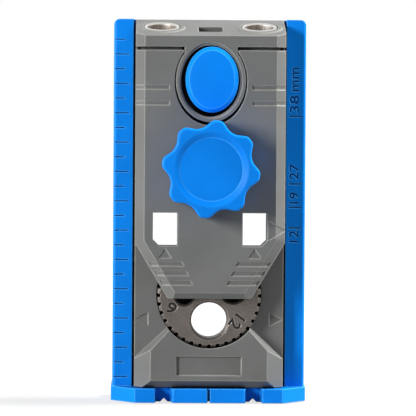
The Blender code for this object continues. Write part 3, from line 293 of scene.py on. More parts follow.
def addCamera(view):
    yaw, pitch, roll = (math.radians(view[key]) for key in ("yaw", "pitch", "roll"))
    ahead = Vector((math.sin(yaw) * math.cos(pitch), math.cos(yaw) * math.cos(pitch), -math.sin(pitch)))
    side = Vector((math.cos(yaw), -math.sin(yaw), 0.0))
    above = side.cross(ahead)
    right = math.cos(roll) * side - math.sin(roll) * above
    up = math.sin(roll) * side + math.cos(roll) * above
    place = (Vector(view["target"]) - ahead * view["distance"]) * mm
    made = bpy.data.cameras.new("camera")
    made.sensor_width = view["sensor"]
    made.lens = view["focalPixels"] / view["framePixels"] * view["sensor"]
    made.clip_start = 0.05
    camera = bpy.data.objects.new("camera", made)
    bpy.context.scene.collection.objects.link(camera)
    turn = Matrix((right, up, -ahead)).transposed().to_4x4()
    camera.matrix_world = Matrix.Translation(place) @ turn
    bpy.context.scene.camera = camera


addCamera(cameraView)
print("camera set")


# materials

def linear(hexColour):
    # an sRGB hex value as the linear colour that the shader wants
    parts = [int(hexColour[i:i + 2], 16) / 255.0 for i in (1, 3, 5)]
    return tuple(p / 12.92 if p <= 0.04045 else ((p + 0.055) / 1.055) ** 2.4 for p in parts) + (1.0,)


def addNode(tree, kind, settings=None, links=None):
    node = tree.nodes.new(kind)
    for key, value in (settings or {}).items():
        if isinstance(key, str) and hasattr(node, key):
            setattr(node, key, value)
        else:
            node.inputs[key].default_value = value
    for key, source in (links or {}).items():
        tree.links.new(source, node.inputs[key])
    return node


def noise(tree, size, detail, roughness, place):
    # grain or clouds of about this size in mm
    settings = {"Scale": 1.0 / (size * mm), "Detail": detail, "Roughness": roughness}
    return addNode(tree, "ShaderNodeTexNoise", settings, {"Vector": place}).outputs["Fac"]


def remap(tree, value, span, result):
    settings = {"From Min": span[0], "From Max": span[1], "To Min": result[0], "To Max": result[1]}
    return addNode(tree, "ShaderNodeMapRange", settings, {"Value": value}).outputs["Result"]


def blend(tree, share, base, over):
    # a hex colour over another, or over what a node gives
    settings, links = {"data_type": "RGBA", 7: linear(over)}, {0: share}
    if isinstance(base, str):
        settings[6] = linear(base)
    else:
        links[6] = base
    return addNode(tree, "ShaderNodeMix", settings, links).outputs[2]


def roundEdges(tree, look, span):
    # a normal that is rounded at the edges, and how much of the painted edge highlight each point takes
    settings = {"samples": 6, "Radius": look["edge"] * mm}
    rounded = addNode(tree, "ShaderNodeBevel", settings).outputs["Normal"]
    real = addNode(tree, "ShaderNodeNewGeometry").outputs["Normal"]
    sameWay = addNode(tree, "ShaderNodeVectorMath", {"operation": "DOT_PRODUCT"}, {0: rounded, 1: real})
    return rounded, remap(tree, sameWay.outputs["Value"], span, (0.0, look["highlightShare"]))


def newMaterial(name):
    made = bpy.data.materials.new(name)
    made.use_nodes = True
    tree = made.node_tree
    shader = tree.nodes["Principled BSDF"]
    return made, tree, shader


def joinUp(tree, shader, look, colour, rough, grain, rounded):
    settings = {"Strength": look["bump"], "Distance": look["relief"] * mm}
    bump = addNode(tree, "ShaderNodeBump", settings, {"Height": grain, "Normal": rounded})
    tree.links.new(colour, shader.inputs["Base Color"])
    tree.links.new(rough, shader.inputs["Roughness"])
    tree.links.new(bump.outputs["Normal"], shader.inputs["Normal"])


midTones = (0.3, 0.7)  # most values of a noise texture lie between these


def mouldedAbs(name, look):
    # ABS from a spark-eroded mould: a fine even grain that breaks the gloss, edges painted a little
    # paler as a highlight where the bevel rounds them, and painted shade in the narrow gaps
    made, tree, shader = newMaterial(name)
    place = addNode(tree, "ShaderNodeTexCoord").outputs["Object"]
    grain = noise(tree, look["grain"], 3.0, 0.6, place)
    cloud = noise(tree, look["cloud"], 2.0, 0.5, place)
    rounded, edges = roundEdges(tree, look, (0.998, 0.95))
    # ambient occlusion finds the narrow gaps, which get painted shade
    settings = {"samples": 8, "Distance": look["gap"] * mm}
    openness = addNode(tree, "ShaderNodeAmbientOcclusion", settings).outputs["AO"]
    creviceShade = remap(tree, openness, (look["open"], look["shut"]), (0.0, 1.0))
    tone = remap(tree, cloud, midTones, (0.0, 1.0))
    speck = remap(tree, grain, (0.35, 0.65), (look["speck"], 0.0))
    colour = blend(tree, tone, look["colour"], look["shade"])
    colour = blend(tree, speck, colour, look["shade"])
    # paler edges are a painted highlight, near-black gaps painted shade
    colour = blend(tree, edges, colour, look["edgeHighlight"])
    colour = blend(tree, creviceShade, colour, look["creviceShade"])
    rough = remap(tree, grain, midTones, (look["rough"] - 0.05, look["rough"] + 0.06))
    shader.inputs["IOR"].default_value = 1.54  # ABS
    shader.inputs["Specular IOR Level"].default_value = look["gloss"]
    joinUp(tree, shader, look, colour, rough, grain, rounded)
    return made


def steelSurface(name, look):
    # bare or plated metal: colour drifts a little, edges are painted brighter as a highlight and as rub
    # wear, and the machining leaves rings, lines or grains of a real size
    made, tree, shader = newMaterial(name)
    place = addNode(tree, "ShaderNodeTexCoord").outputs["Object"]
    settings = {"Rotation": look.get("turn", (0, 0, 0)), "Scale": look.get("stretch", (1, 1, 1))}
    turned = addNode(tree, "ShaderNodeMapping", settings, {"Vector": place}).outputs["Vector"]
    grain = noise(tree, look["grain"], 4.0, 0.65, turned)
    cloud = noise(tree, look["cloud"], 2.0, 0.5, place)
    rounded, edges = roundEdges(tree, look, (0.995, 0.8))
    tone = remap(tree, cloud, midTones, (0.0, look["drift"]))
    speck = remap(tree, grain, (0.40, 0.62), (look["speck"], 0.0))
    colour = blend(tree, tone, look["colour"], look["shade"])
    colour = blend(tree, speck, colour, look["pit"])
    # the brighter edges: painted highlight and rub wear
    colour = blend(tree, edges, colour, look["edgeHighlight"])
    rough = remap(tree, grain, midTones, (look["rough"] + 0.07, look["rough"] - 0.05))
    shader.inputs["Metallic"].default_value = look["metallic"]
    joinUp(tree, shader, look, colour, rough, grain, rounded)
    return made


# satin blue ABS; its real grain of 0.1 mm is drawn at 0.3 mm so that it shows; pale edges are painted
# highlight, near-black gaps painted shade
blueAbs = mouldedAbs("blueAbs", {
    "colour": "#0683ec", "shade": "#057bdf", "edgeHighlight": "#4cb0ff", "creviceShade": "#02060f",
    "grain": 0.3, "cloud": 14.0, "speck": 0.12, "edge": 0.55, "highlightShare": 0.8, "rough": 0.44,
    "bump": 0.3, "relief": 0.03, "gloss": 0.09, "gap": 2.2, "open": 0.55, "shut": 0.2})
# the same plastic in the lines and figures of the scales, painted darker as the shade in their grooves
blueAbsShadedMark = mouldedAbs("blueAbsShadedMark", {
    "colour": "#0656b4", "shade": "#044c9f", "edgeHighlight": "#0a66c8", "creviceShade": "#033378",
    "grain": 0.3, "cloud": 14.0, "speck": 0.10, "edge": 0.1, "highlightShare": 0.2, "rough": 0.6,
    "bump": 0.2, "relief": 0.03, "gloss": 0.05, "gap": 0.5, "open": 0.1, "shut": 0.0})
# grey ABS with a coarser, duller grain; pale edges are painted highlight, near-black gaps painted shade
greyAbs = mouldedAbs("greyAbs", {
    "colour": "#707170", "shade": "#686967", "edgeHighlight": "#aeaea8", "creviceShade": "#070706",
    "grain": 0.35, "cloud": 16.0, "speck": 0.18, "edge": 0.55, "highlightShare": 0.7, "rough": 0.5,
    "bump": 0.4, "relief": 0.03, "gloss": 0.12, "gap": 2.2, "open": 0.5, "shut": 0.15})
# hardened steel, ground and polished: bright, with fine grinding lines round the axis; white edges painted
# as highlight and rub wear
polishedSteel = steelSurface("polishedSteel", {
    "colour": "#e4e2de", "shade": "#cfccc8", "edgeHighlight": "#ffffff", "pit": "#a9a39c",
    "grain": 0.5, "cloud": 5.0, "speck": 0.25, "drift": 0.6, "edge": 0.25, "highlightShare": 0.5,
    "rough": 0.11, "bump": 0.08, "relief": 0.02, "metallic": 1.0,
    "turn": (-workFaceTilt, 0.0, 0.0), "stretch": (0.12, 0.12, 2.0)})
# the same steel in the bore, honed: duller, with light and brown streaks along it that are painted
# reflections
honedSteel = steelSurface("honedSteel", {
    "colour": "#e9e4dc", "shade": "#9c8a78", "edgeHighlight": "#ffffff", "pit": "#4a4038",
    "grain": 1.6, "cloud": 3.0, "speck": 0.7, "drift": 0.9, "edge": 0.2, "highlightShare": 0.3,
    "rough": 0.5, "bump": 0.1, "relief": 0.02, "metallic": 0.9,
    "turn": (-workFaceTilt, 0.0, 0.0), "stretch": (1.0, 1.0, 0.2)})
# pressed and sintered steel: brownish grey, its rims painted bright as highlight and rub wear, with an open
# grain of 0.2 mm that is drawn at 0.38 mm
sinteredSteel = steelSurface("sinteredSteel", {
    "colour": "#716a65", "shade": "#655e59", "edgeHighlight": "#cfc9c2", "pit": "#35302d",
    "grain": 0.38, "cloud": 7.0, "speck": 0.6, "drift": 0.8, "edge": 0.3, "highlightShare": 0.8,
    "rough": 0.46, "bump": 0.6, "relief": 0.06, "metallic": 0.8})
# the turret's engraved figures, coloured darker than the turret
figureDark = steelSurface("figureDark", {
    "colour": "#2d2926", "shade": "#24211f", "edgeHighlight": "#5a534e", "pit": "#171514",
    "grain": 0.38, "cloud": 7.0, "speck": 0.4, "drift": 0.5, "edge": 0.1, "highlightShare": 0.3,
    "rough": 0.6, "bump": 0.4, "relief": 0.05, "metallic": 0.5})
# zinc plate on mild steel: cool pale grey with faint clouds, edges painted paler as highlight and rub wear
zincPlate = steelSurface("zincPlate", {
    "colour": "#c3c6c8", "shade": "#aeb1ae", "edgeHighlight": "#e6e8ea", "pit": "#8b8d8c",
    "grain": 0.6, "cloud": 4.0, "speck": 0.25, "drift": 0.9, "edge": 0.25, "highlightShare": 0.5,
    "rough": 0.33, "bump": 0.15, "relief": 0.03, "metallic": 1.0})
# drawn spring wire, oiled and darker, edges painted paler as highlight and rub wear
springWire = steelSurface("springWire", {
    "colour": "#8f8c88", "shade": "#75726d", "edgeHighlight": "#c8c5c0", "pit": "#4b4845",
    "grain": 0.4, "cloud": 3.0, "speck": 0.3, "drift": 0.7, "edge": 0.1, "highlightShare": 0.3,
    "rough": 0.3, "bump": 0.15, "relief": 0.02, "metallic": 1.0})
print("materials made")


def giveMaterials(piece, *surfaces):
    slots = piece.data.materials
    for i, surface in enumerate(surfaces):
        if i < len(slots):
            slots[i] = surface
        else:
            slots.append(surface)
    return piece


def finished(piece, body, replacing):
    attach(piece, body)
    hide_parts(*replacing)
    deselectAll()
    return piece


def cleanCopy(node, name):
    # a copy of a CAD node with its loose triangles merged and its flat faces whole again
    source = nodes[node]
    piece = bpy.data.objects.new(name, source.data.copy())
    bpy.context.scene.collection.objects.link(piece)
    makeActive(piece)
    piece.data.materials.clear()
    bpy.ops.mesh.customdata_custom_splitnormals_clear()
    editMode(piece)
    bpy.ops.mesh.select_all(action="SELECT")
    bpy.ops.mesh.remove_doubles(threshold=0.003 * mm)
    bpy.ops.mesh.dissolve_limited(angle_limit=math.radians(0.3), use_dissolve_boundaries=False)
    bpy.ops.object.mode_set(mode="OBJECT")
    print(name, "from", node, len(piece.data.polygons), "faces")
    return piece


# base frame: rails with engraved scales

scaleMarks = {
    "firstLine": 8.0, "step": 5.0, "count": 24,  # mm up the left rail
    "from": -32.3, "long": -27.5, "short": -28.9, "width": 0.36, "depth": 0.4,
    "railRise": 12.5, "corner": (32.75, 130.0, 2.0),  # outer edge, top and radius
    "flute": (15.3, 24.0, 17.5, 3.05, 2.4),  # middle, rise outside, rise of its floor, half widths there
    "fluteUp": (-6.0, 1.0), "cornerRise": (-1.0, 14.0),
    "stockLines": (59.1, 66.1, 74.1, 97.1), "stockX": (27.1, 31.2),
    "figureX": (27.3, 30.3), "figureDepth": 0.3, "smallLetters": 0.75,
    "figures": (("12", 54.2, 58.1), ("19", 67.4, 71.2), ("27", 75.6, 80.9),
                ("38", 98.4, 104.2), ("mm", 105.7, 113.7)),
}


def makeBaseFrame(marks):
    rails = cleanCopy("base_frame", "baseFrame")
    giveMaterials(rails, blueAbs, blueAbsShadedMark)
    rise = (marks["railRise"] - marks["depth"], marks["railRise"] + 1.0)
    tools = []
    for k in range(marks["count"]):
        middle = marks["firstLine"] + marks["step"] * k
        end = marks["short"] if k % 2 else marks["long"]
        up = (middle - marks["width"] / 2, middle + marks["width"] / 2)
        tools.append(boxTool((marks["from"], end), up, rise))
    for middle in marks["stockLines"]:
        up = (middle - marks["width"] / 2, middle + marks["width"] / 2)
        tools.append(boxTool(marks["stockX"], up, rise))
    figureRise = (marks["railRise"] - marks["figureDepth"], marks["railRise"] + 1.0)
    left, right = marks["figureX"]
    for words, low, high in marks["figures"]:
        tall = right - left if words != "mm" else marks["smallLetters"] * (right - left)
        centre = (right - tall / 2, (low + high) / 2)
        tools.append(numberTool(words, centre, (high - low, tall), 90.0, figureRise))
    edge, top, radius = marks["corner"]
    turns = [math.radians(15.0 * i) for i in range(7)]
    for side in (1, -1):
        arc = [(side * (edge - radius + radius * math.cos(a)), top - radius + radius * math.sin(a))
               for a in turns]
        outside = [(side * (edge - radius), top + 0.5), (side * (edge + 0.5), top + 0.5)]
        outline = [(side * (edge + 0.5), top - radius)] + arc + outside
        carve(rails, prismTool(outline, marks["cornerRise"], "cornerTool"))
    middle, front, floor, wide, narrow = marks["flute"]
    for side in (1, -1):
        x = side * middle
        outline = [(x - wide, front), (x - narrow, floor), (x + narrow, floor), (x + wide, front)]
        carve(rails, layFlat(prismTool(outline, marks["fluteUp"], "fluteTool")))
    tool = joinPieces(tools, "scaleTool")
    giveMaterials(tool, blueAbs, blueAbsShadedMark)
    # the marks' cut faces take the darker blue, painted shade in the grooves
    for face in tool.data.polygons:
        face.material_index = 1
    carve(rails, tool)
    smooth(rails)
    return finished(rails, "base", ["base_frame"])


makeBaseFrame(scaleMarks)
print("base frame made")


# grey carriage: body and cover

stockPointer = {
    "tip": (25.6, 58.6), "base": 19.7, "halfHeight": 3.3, "depth": 0.22,
    "faceRise": 28.3, "chamferX": 22.2, "side": 25.3,
    "inside": 15.0, "up": (-64.0, -52.0),  # where the floor's block starts, and its reach
}

carriageTrim = {
    "endBack": (6.3, 130.0), "frontRise": 25.2, "frontEdge": 0.7,
    "well": (-0.15, 108.85, 9.92, 12.03), "wellFloor": 12.05,  # middle and half sizes
    "opening": (0.0, 108.45, 12.2, 14.5), "parting": (119.2, 122.0), "partingX": (-26.0, 26.0),
    "shoulder": (25.3, 54.3), "tip": (14.2, 35.6), "chamfer": 3.1, "faceRise": 28.3, "tipDrop": 1.5,
    "bars": (46.55, 43.35, 40.15), "barHeight": 1.5, "barDepth": 0.35, "barEnds": (0.9, 4.5),
    "cutterReach": 1.5, "overrun": 0.2,  # past the chamfer, and past each end as a share of its length
    "through": (20.0, 32.0), "above": 32.0, "openingRise": 10.0,  # rises that cutters reach
}


def makeCarriageBody(trim):
    body = cleanCopy("carriage_body", "carriageBody")
    giveMaterials(body, greyAbs)
    editMode(body)
    backRise, backZ = trim["endBack"]

    def onFrontEdge(vertex):
        rise, up = -vertex.co.y / mm, vertex.co.z / mm
        offPlane = abs(up - backZ + (rise - backRise) * math.tan(workFaceTilt))
        return offPlane < 0.02 and rise > trim["frontRise"] - 0.02

    print("front edges", pick(body, lambda edge: all(onFrontEdge(v) for v in edge.verts), "EDGE"))
    bevelPicked(trim["frontEdge"], 2)
    bpy.ops.object.mode_set(mode="OBJECT")
    carve(body, prismTool(ovalOutline(*trim["well"]), (trim["wellFloor"], trim["above"]), "wellTool"))
    smooth(body)
    return finished(body, "carriage", ["carriage_body"])


def carvePointer(cover, pointer, rise):
    # the pointer to the stock marks runs off the face and down the chamfer
    x, z = pointer["tip"]
    low, high = z - pointer["halfHeight"], z + pointer["halfHeight"]
    triangle = prismTool([(x, z), (pointer["base"], high), (pointer["base"], low)], rise, "pointerTool")
    drop = pointer["side"] - pointer["chamferX"]
    inside, outside, over = pointer["inside"], pointer["side"] + 1.0, 5.0
    profile = [(inside, 0.0), (pointer["chamferX"], 0.0), (outside, -drop - 1.0),
               (outside, over), (inside, over)]
    floor = prismTool(profile, pointer["up"], "pointerFloor")
    carve(triangle, layFlat(floor, pointer["faceRise"] - pointer["depth"]), "INTERSECT")
    carve(cover, triangle)


def trimNose(cover, trim):
    # the nose's tip gets a shallow chamfer, and its slanted sides get the same as the long ones
    outerRise = trim["faceRise"] - trim["chamfer"]
    (farX, farZ), (tipX, tipZ) = trim["shoulder"], trim["tip"]
    editMode(cover)

    def onTipEdge(vertex):
        near = 0.03 * mm
        return abs(vertex.co.z - tipZ * mm) < near and abs(-vertex.co.y - outerRise * mm) < near

    print("tip corners", pick(cover, onTipEdge))
    bpy.ops.transform.translate(value=(0.0, -(trim["chamfer"] - trim["tipDrop"]) * mm, 0.0))
    bpy.ops.object.mode_set(mode="OBJECT")
    over = trim["chamfer"] + trim["cutterReach"]
    highest = outerRise + over + 2.0
    profile = [(-1.0, outerRise - 1.0), (over, outerRise + over), (over, highest), (-1.0, highest)]
    barProfile = [(across, rise - trim["barDepth"]) for across, rise in profile]
    slope = (farX - tipX) / (farZ - tipZ)
    lean = ((farX - tipX) * trim["overrun"], (farZ - tipZ) * trim["overrun"])
    low, high = (tipX - lean[0], tipZ - lean[1]), (farX + lean[0], farZ + lean[1])
    outer, inner = trim["barEnds"]
    for side in (1, -1):
        line = (low, high) if side > 0 else ((-high[0], high[1]), (-low[0], low[1]))
        carve(cover, wedgeTool(profile, *line))
        for barLow in trim["bars"]:
            barHigh = barLow + trim["barHeight"]
            lowX, highX = (tipX + (up - tipZ) * slope for up in (barLow, barHigh))
            outline = [(side * (lowX - inner), barLow), (side * (lowX - outer), barLow),
                       (side * (highX - outer), barHigh), (side * (highX - inner), barHigh)]
            bar = prismTool(outline, trim["through"], "barTool")
            carve(bar, wedgeTool(barProfile, *line), "INTERSECT")
            carve(cover, bar)


def makeFrontCover(pointer, trim):
    cover = cleanCopy("front_cover", "frontCover")
    giveMaterials(cover, greyAbs)
    carvePointer(cover, pointer, trim["through"])
    openingRise = (trim["openingRise"], trim["above"])
    carve(cover, prismTool(ovalOutline(*trim["opening"]), openingRise, "openingTool"))
    # the cover's top edge is lowered, so that the parting line shows
    carve(cover, boxTool(trim["partingX"], trim["parting"], trim["through"], "partingTool"))
    trimNose(cover, trim)
    smooth(cover)
    return finished(cover, "carriage", ["front_cover"])


makeCarriageBody(carriageTrim)
makeFrontCover(stockPointer, carriageTrim)
print("carriage made")


# drill sleeves

sleeve = {
    "x": 16.5, "mouthRise": 17.891, "mouthZ": 126.894, "outer": 6.05, "bore": 4.75, "length": 40.0,
    "proud": 0.55, "leadIn": 0.55, "backRise": 6.3,
}


def makeSleeve(name, node, side, shape):
    top, outer, bore, lead = shape["proud"], shape["outer"], shape["bore"], shape["leadIn"]
    profile = [
        (bore, -shape["length"]), (bore, top - lead * 1.25), (bore + 0.08, top - lead * 0.75),
        (bore + 0.3, top - lead * 0.3), (bore + lead * 0.9, top - 0.03), (bore + lead, top),
        (outer - 0.35, top), (outer - 0.12, top - 0.08), (outer, top - 0.3),
        (outer, -shape["length"]), (bore, -shape["length"]),
    ]
    piece = spun(name, profile, 72)
    mouth = Vector((side * shape["x"] * mm, -shape["mouthRise"] * mm, shape["mouthZ"] * mm))
    piece.rotation_euler = (workFaceTilt, 0.0, 0.0)
    piece.location = mouth
    makeActive(piece)
    bpy.ops.object.transform_apply(location=True, rotation=True, scale=True)
    # its lower end is cut flush with the carriage's back
    cutFlat(piece, (0.0, -shape["backRise"] * mm, 0.0), (0.0, 1.0, 0.0), clear_outer=True)
    outward(piece)
    giveMaterials(piece, polishedSteel, honedSteel)
    lean = Vector((0.0, -math.sin(workFaceTilt), math.cos(workFaceTilt)))
    # the bore's faces take honedSteel, whose light and brown streaks are painted reflections
    for face in piece.data.polygons:
        out = face.center - mouth
        out -= lean * out.dot(lean)
        if out.length < (bore + 0.05) * mm and abs(face.normal.dot(lean)) < 0.3:
            face.material_index = 1
    smooth(piece, 28.0)
    return finished(piece, "carriage", [node])


makeSleeve("sleeveLeft", "guide_sleeve_left", -1, sleeve)
makeSleeve("sleeveRight", "guide_sleeve_right", 1, sleeve)
print("drill sleeves made")


# dowel turret

turret = {
    "z": 36.3, "radius": 17.5, "back": 12.5, "face": 22.0, "flutes": 36, "phases": 20,
    "fluteFloor": 16.45, "fluteShares": (1.0, 1.0, 1.0, 1.0, 0.8),  # of its depth, a phase at a time
    "rim": 0.3, "faceRadius": 16.75, "rimSlope": (2.0, 1.4), "holeCircle": 8.3, "sink": 0.8,
    "holes": ((270.0, 12.0), (12.0, 8.0), (90.0, 10.0), (180.0, 6.0)),  # angle and drill
    "figures": (  # words, angle round the face, angle of their tops, radius, size
        ("12", 316.7, 322.0, 12.9, (4.9, 4.1)), ("6", 198.3, 238.0, 13.38, (3.3, 4.1)),
        ("8", 34.8, 74.0, 13.3, (3.3, 4.1)), ("10", 132.0, 137.0, 13.0, (4.9, 4.0))),
    "figureDepth": 0.35, "bold": 0.026, "pivot": 1.6, "pivotDepth": 7.5,
    "detent": 13.2, "ballAngle": 45.0, "bottom": 270.0,
    "dimple": ((0.0, 0.9), (0.8, 0.7), (1.9, -0.5), (0.0, -0.5)),
}


def makeTurret(shape):
    count = shape["flutes"] * shape["phases"]
    piece = addDisc("dowelTurret", count, shape["radius"], shape["back"])
    editMode(piece)
    deep = shape["radius"] - shape["fluteFloor"]
    for phase, share in enumerate(shape["fluteShares"]):
        pick(piece, lambda vertex: phaseOf(vertex, count, shape["phases"]) == phase)
        factor = (shape["radius"] - deep * share) / shape["radius"]
        bpy.ops.transform.resize(value=(factor, factor, 1.0), center_override=(0, 0, shape["back"] * mm))
    pick(piece, lambda face: True, "FACE")
    face, back, sink = shape["face"], shape["back"], shape["sink"]
    raisePicked(face - back)
    bpy.ops.object.mode_set(mode="OBJECT")
    outward(piece)
    # the rims of the teeth are broken by a small chamfer behind and a wider one in front
    editMode(piece)
    pick(piece, atLevel(back), "EDGE")
    bevelPicked(shape["rim"], 2)
    bpy.ops.object.mode_set(mode="OBJECT")
    wide, fall = shape["rimSlope"]
    inner, outer = shape["faceRadius"], shape["faceRadius"] + wide
    profile = [(inner, face), (outer, face - fall), (outer, face + 1.0), (inner, face + 1.0), (inner, face)]
    carve(piece, spun("rimTool", profile, 120))
    for angle, bore in shape["holes"]:
        turn, radius = math.radians(angle), bore / 2
        x, y = shape["holeCircle"] * math.cos(turn), shape["holeCircle"] * math.sin(turn)
        profile = [(0.0, face + 2.0), (radius + sink + 0.1, face + 2.0), (radius + sink, face + 0.02),
                   (radius + sink * 0.8, face - sink * 0.25), (radius + sink * 0.12, face - sink * 0.7),
                   (radius, face - sink), (radius, back - 1.0), (0.0, back - 1.0)]
        tool = spun("holeTool", profile, 64)
        tool.data.transform(Matrix.Translation((x * mm, y * mm, 0.0)))
        carve(piece, tool)
    carve(piece, plugTool("pivotTool", shape["pivot"], back - 1.0, back + shape["pivotDepth"], 32))
    for angle, bore in shape["holes"]:
        # each dimple is under the ball when its hole is at the bottom
        turn = math.radians(angle + shape["ballAngle"] - shape["bottom"])
        x, y = shape["detent"] * math.cos(turn), shape["detent"] * math.sin(turn)
        tool = spun("dimpleTool", [(radius, back + height) for radius, height in shape["dimple"]], 20)
        tool.data.transform(Matrix.Translation((x * mm, y * mm, 0.0)))
        carve(piece, tool)
    standUp(piece, 0.0, shape["z"])
    giveMaterials(piece, sinteredSteel, figureDark)
    tools = []
    rise = (face - shape["figureDepth"], face + 1.0)
    for words, angle, tops, radius, size in shape["figures"]:
        turn = math.radians(angle)
        centre = (radius * math.cos(turn), shape["z"] + radius * math.sin(turn))
        tools.append(numberTool(words, centre, size, tops - 90.0, rise, shape["bold"]))
    tool = joinPieces(tools, "figureTool")
    giveMaterials(tool, sinteredSteel, figureDark)
    for side in tool.data.polygons:
        side.material_index = 1
    carve(piece, tool)
    smooth(piece, 30.0)
    return finished(piece, "turret", ["dowel_turret"])


makeTurret(turret)
print("turret made")


# clamp knob

knob = {
    "z": 79.35, "low": 29.9, "high": 41.0, "tip": 16.4, "valley": 14.0,
    "lobes": 8, "phases": 24, "turn": -8.0,
    "edge": 0.85, "lowEdge": 0.5, "dish": ((12.6, 0.0), (12.4, 0.06), (10.75, 0.85), (10.6, 1.05)),
    "hollow": (7.6, 11.6, 6.0), "bore": 3.25, "boreDepth": 6.8,
}


def makeKnob(shape):
    count = shape["lobes"] * shape["phases"]
    low, top = shape["low"], shape["high"]
    piece = addDisc("clampKnob", count, shape["valley"], low)

    def lobeRadius(phase):
        # a blunt tip with hollow flanks that run into a round valley
        wave = 0.5 + 0.5 * math.cos(2.0 * math.pi * phase / shape["phases"])
        return shape["valley"] + (shape["tip"] - shape["valley"]) * min(1.0, 1.13 * wave ** 1.35)

    editMode(piece)
    for phase in range(shape["phases"] // 2 + 1):
        # the round rim is scaled one phase at a time to the lobes' outline
        pick(piece, lambda vertex: phaseOf(vertex, count, shape["phases"]) == phase)
        factor = lobeRadius(phase) / shape["valley"]
        bpy.ops.transform.resize(value=(factor, factor, 1.0), center_override=(0, 0, low * mm))
    pick(piece, lambda face: True, "FACE")
    raisePicked(top - low)
    bpy.ops.object.mode_set(mode="OBJECT")
    outward(piece)
    editMode(piece)
    pick(piece, atLevel(top), "EDGE")
    bevelPicked(shape["edge"], 5)
    pick(piece, atLevel(low), "EDGE")
    bevelPicked(shape["lowEdge"], 2)
    bpy.ops.object.mode_set(mode="OBJECT")
    # the dish is turned into the top, the hollow and the bore into the underside
    widest, deepest = shape["dish"][0][0], shape["dish"][-1][1]
    profile = [(0.0, top + 2.0), (widest + 0.4, top + 2.0), (widest + 0.25, top + 0.03)]
    profile += [(radius, top - depth) for radius, depth in shape["dish"]]
    profile.append((0.0, top - deepest))
    carve(piece, spun("dishTool", profile, 96))
    inner, outer, depth = shape["hollow"]
    roof = low + depth
    profile = [(inner, roof), (outer, roof), (outer, low - 1.0), (inner, low - 1.0), (inner, roof)]
    carve(piece, spun("hollowTool", profile, 64))
    carve(piece, plugTool("boreTool", shape["bore"], low - 1.0, low + shape["boreDepth"], 40))
    piece.data.transform(Matrix.Rotation(math.radians(shape["turn"]), 4, "Z"))
    standUp(piece, 0.0, shape["z"])
    giveMaterials(piece, blueAbs)
    smooth(piece, 34.0)
    return finished(piece, "knob", ["clamp_knob"])


makeKnob(knob)
print("knob made")


# release button

button = {
    "x": 0.35, "z": 109.3, "halfWidth": 8.87, "halfHeight": 11.05,
    "low": 19.9, "rimRise": 29.65, "edge": 1.25,
    # share of the rim, and how far above it
    "crown": ((0.86, 0.10), (0.66, 0.2), (0.4, 0.27), (0.15, 0.3)),
    "stemRadius": 2.7, "stemEnd": 4.0, "screwBore": 1.5, "screwDepth": 9.0,
}


def makeButton(shape):
    low, rim, stemEnd = shape["low"], shape["rimRise"], shape["stemEnd"]
    piece = addDisc("releaseButton", 96, 1.0, low)
    editMode(piece)
    bpy.ops.mesh.select_all(action="SELECT")
    oval = (shape["halfWidth"], shape["halfHeight"], 1.0)
    bpy.ops.transform.resize(value=oval, center_override=(0, 0, low * mm))
    raisePicked(rim - low)
    bpy.ops.object.mode_set(mode="OBJECT")
    outward(piece)
    editMode(piece)
    pick(piece, atLevel(rim), "EDGE")
    bevelPicked(shape["edge"], 1)
    # the top is crowned by rings that shrink and rise
    pick(piece, lambda face: face.normal.z > 0.999 and len(face.verts) > 20, "FACE")
    share, rise = 1.0, 0.0
    for nextShare, nextRise in shape["crown"]:
        raisePicked(nextRise - rise)
        factor = nextShare / share
        bpy.ops.transform.resize(value=(factor, factor, 1.0), center_override=(0, 0, 0))
        share, rise = nextShare, nextRise
    bpy.ops.object.mode_set(mode="OBJECT")
    outward(piece)
    radius = shape["stemRadius"]
    profile = [(0.0, low + 1.0), (radius, low + 1.0), (radius, stemEnd + 0.3),
               (radius - 0.3, stemEnd), (0.0, stemEnd)]
    carve(piece, spun("stem", profile, 36), "UNION")
    carve(piece, plugTool("threadTool", shape["screwBore"], 0.0, stemEnd + shape["screwDepth"], 24))
    standUp(piece, shape["x"], shape["z"])
    giveMaterials(piece, blueAbs)
    smooth(piece, 34.0)
    return finished(piece, "button", ["release_button"])


makeButton(button)
print("button made")


# clamp stud with its thread, washer, nut, brake bar and screws

clamp = {
    "z": 79.35, "studRadius": 2.95, "studLow": 0.7, "studHigh": 36.4,
    "pitch": 1.0, "threadDepth": 0.5, "threadTop": 9.0,
    # crest or root, and share of the pitch
    "flank": ((True, 0.0), (True, 0.14), (False, 0.5), (True, 0.86), (True, 1.0)),
    "washer": (7.4, 3.25, 28.6, 29.6),  # its radius, its hole's, low and high
}


def makeStud(shape):
    radius, low, pitch = shape["studRadius"], shape["studLow"], shape["pitch"]
    top, threadTop = shape["studHigh"], shape["threadTop"]
    root = radius - shape["threadDepth"]
    # one pitch of the thread's flank, wound by a screw modifier and trimmed to length
    flank = [(radius if crest else root, low - pitch + share * pitch) for crest, share in shape["flank"]]
    thread = drawLine("threadFlank", flank)
    bpy.ops.object.mode_set(mode="OBJECT")
    turns = int((threadTop - low) / pitch) + 2
    applyModifier(thread, "SCREW", screw_offset=pitch * mm, iterations=turns, steps=32,
                  render_steps=32, use_merge_vertices=True, merge_threshold=0.001 * mm)
    outward(thread)
    cutFlat(thread, (0, 0, low * mm), (0, 0, 1), clear_inner=True)
    cutFlat(thread, (0, 0, threadTop * mm), (0, 0, 1), clear_outer=True)
    outward(thread)
    profile = [(0.0, top), (radius - 0.4, top), (radius, top - 0.4), (radius, threadTop - 0.4),
               (root, threadTop - 1.0), (0.0, threadTop - 1.0)]
    rod = spun("rod", profile, 40)
    piece = joinPieces([rod, thread], "clampStud")
    standUp(piece, 0.0, shape["z"])
    giveMaterials(piece, zincPlate)
    smooth(piece, 30.0)
    return finished(piece, "knob", ["clamp_stud"])


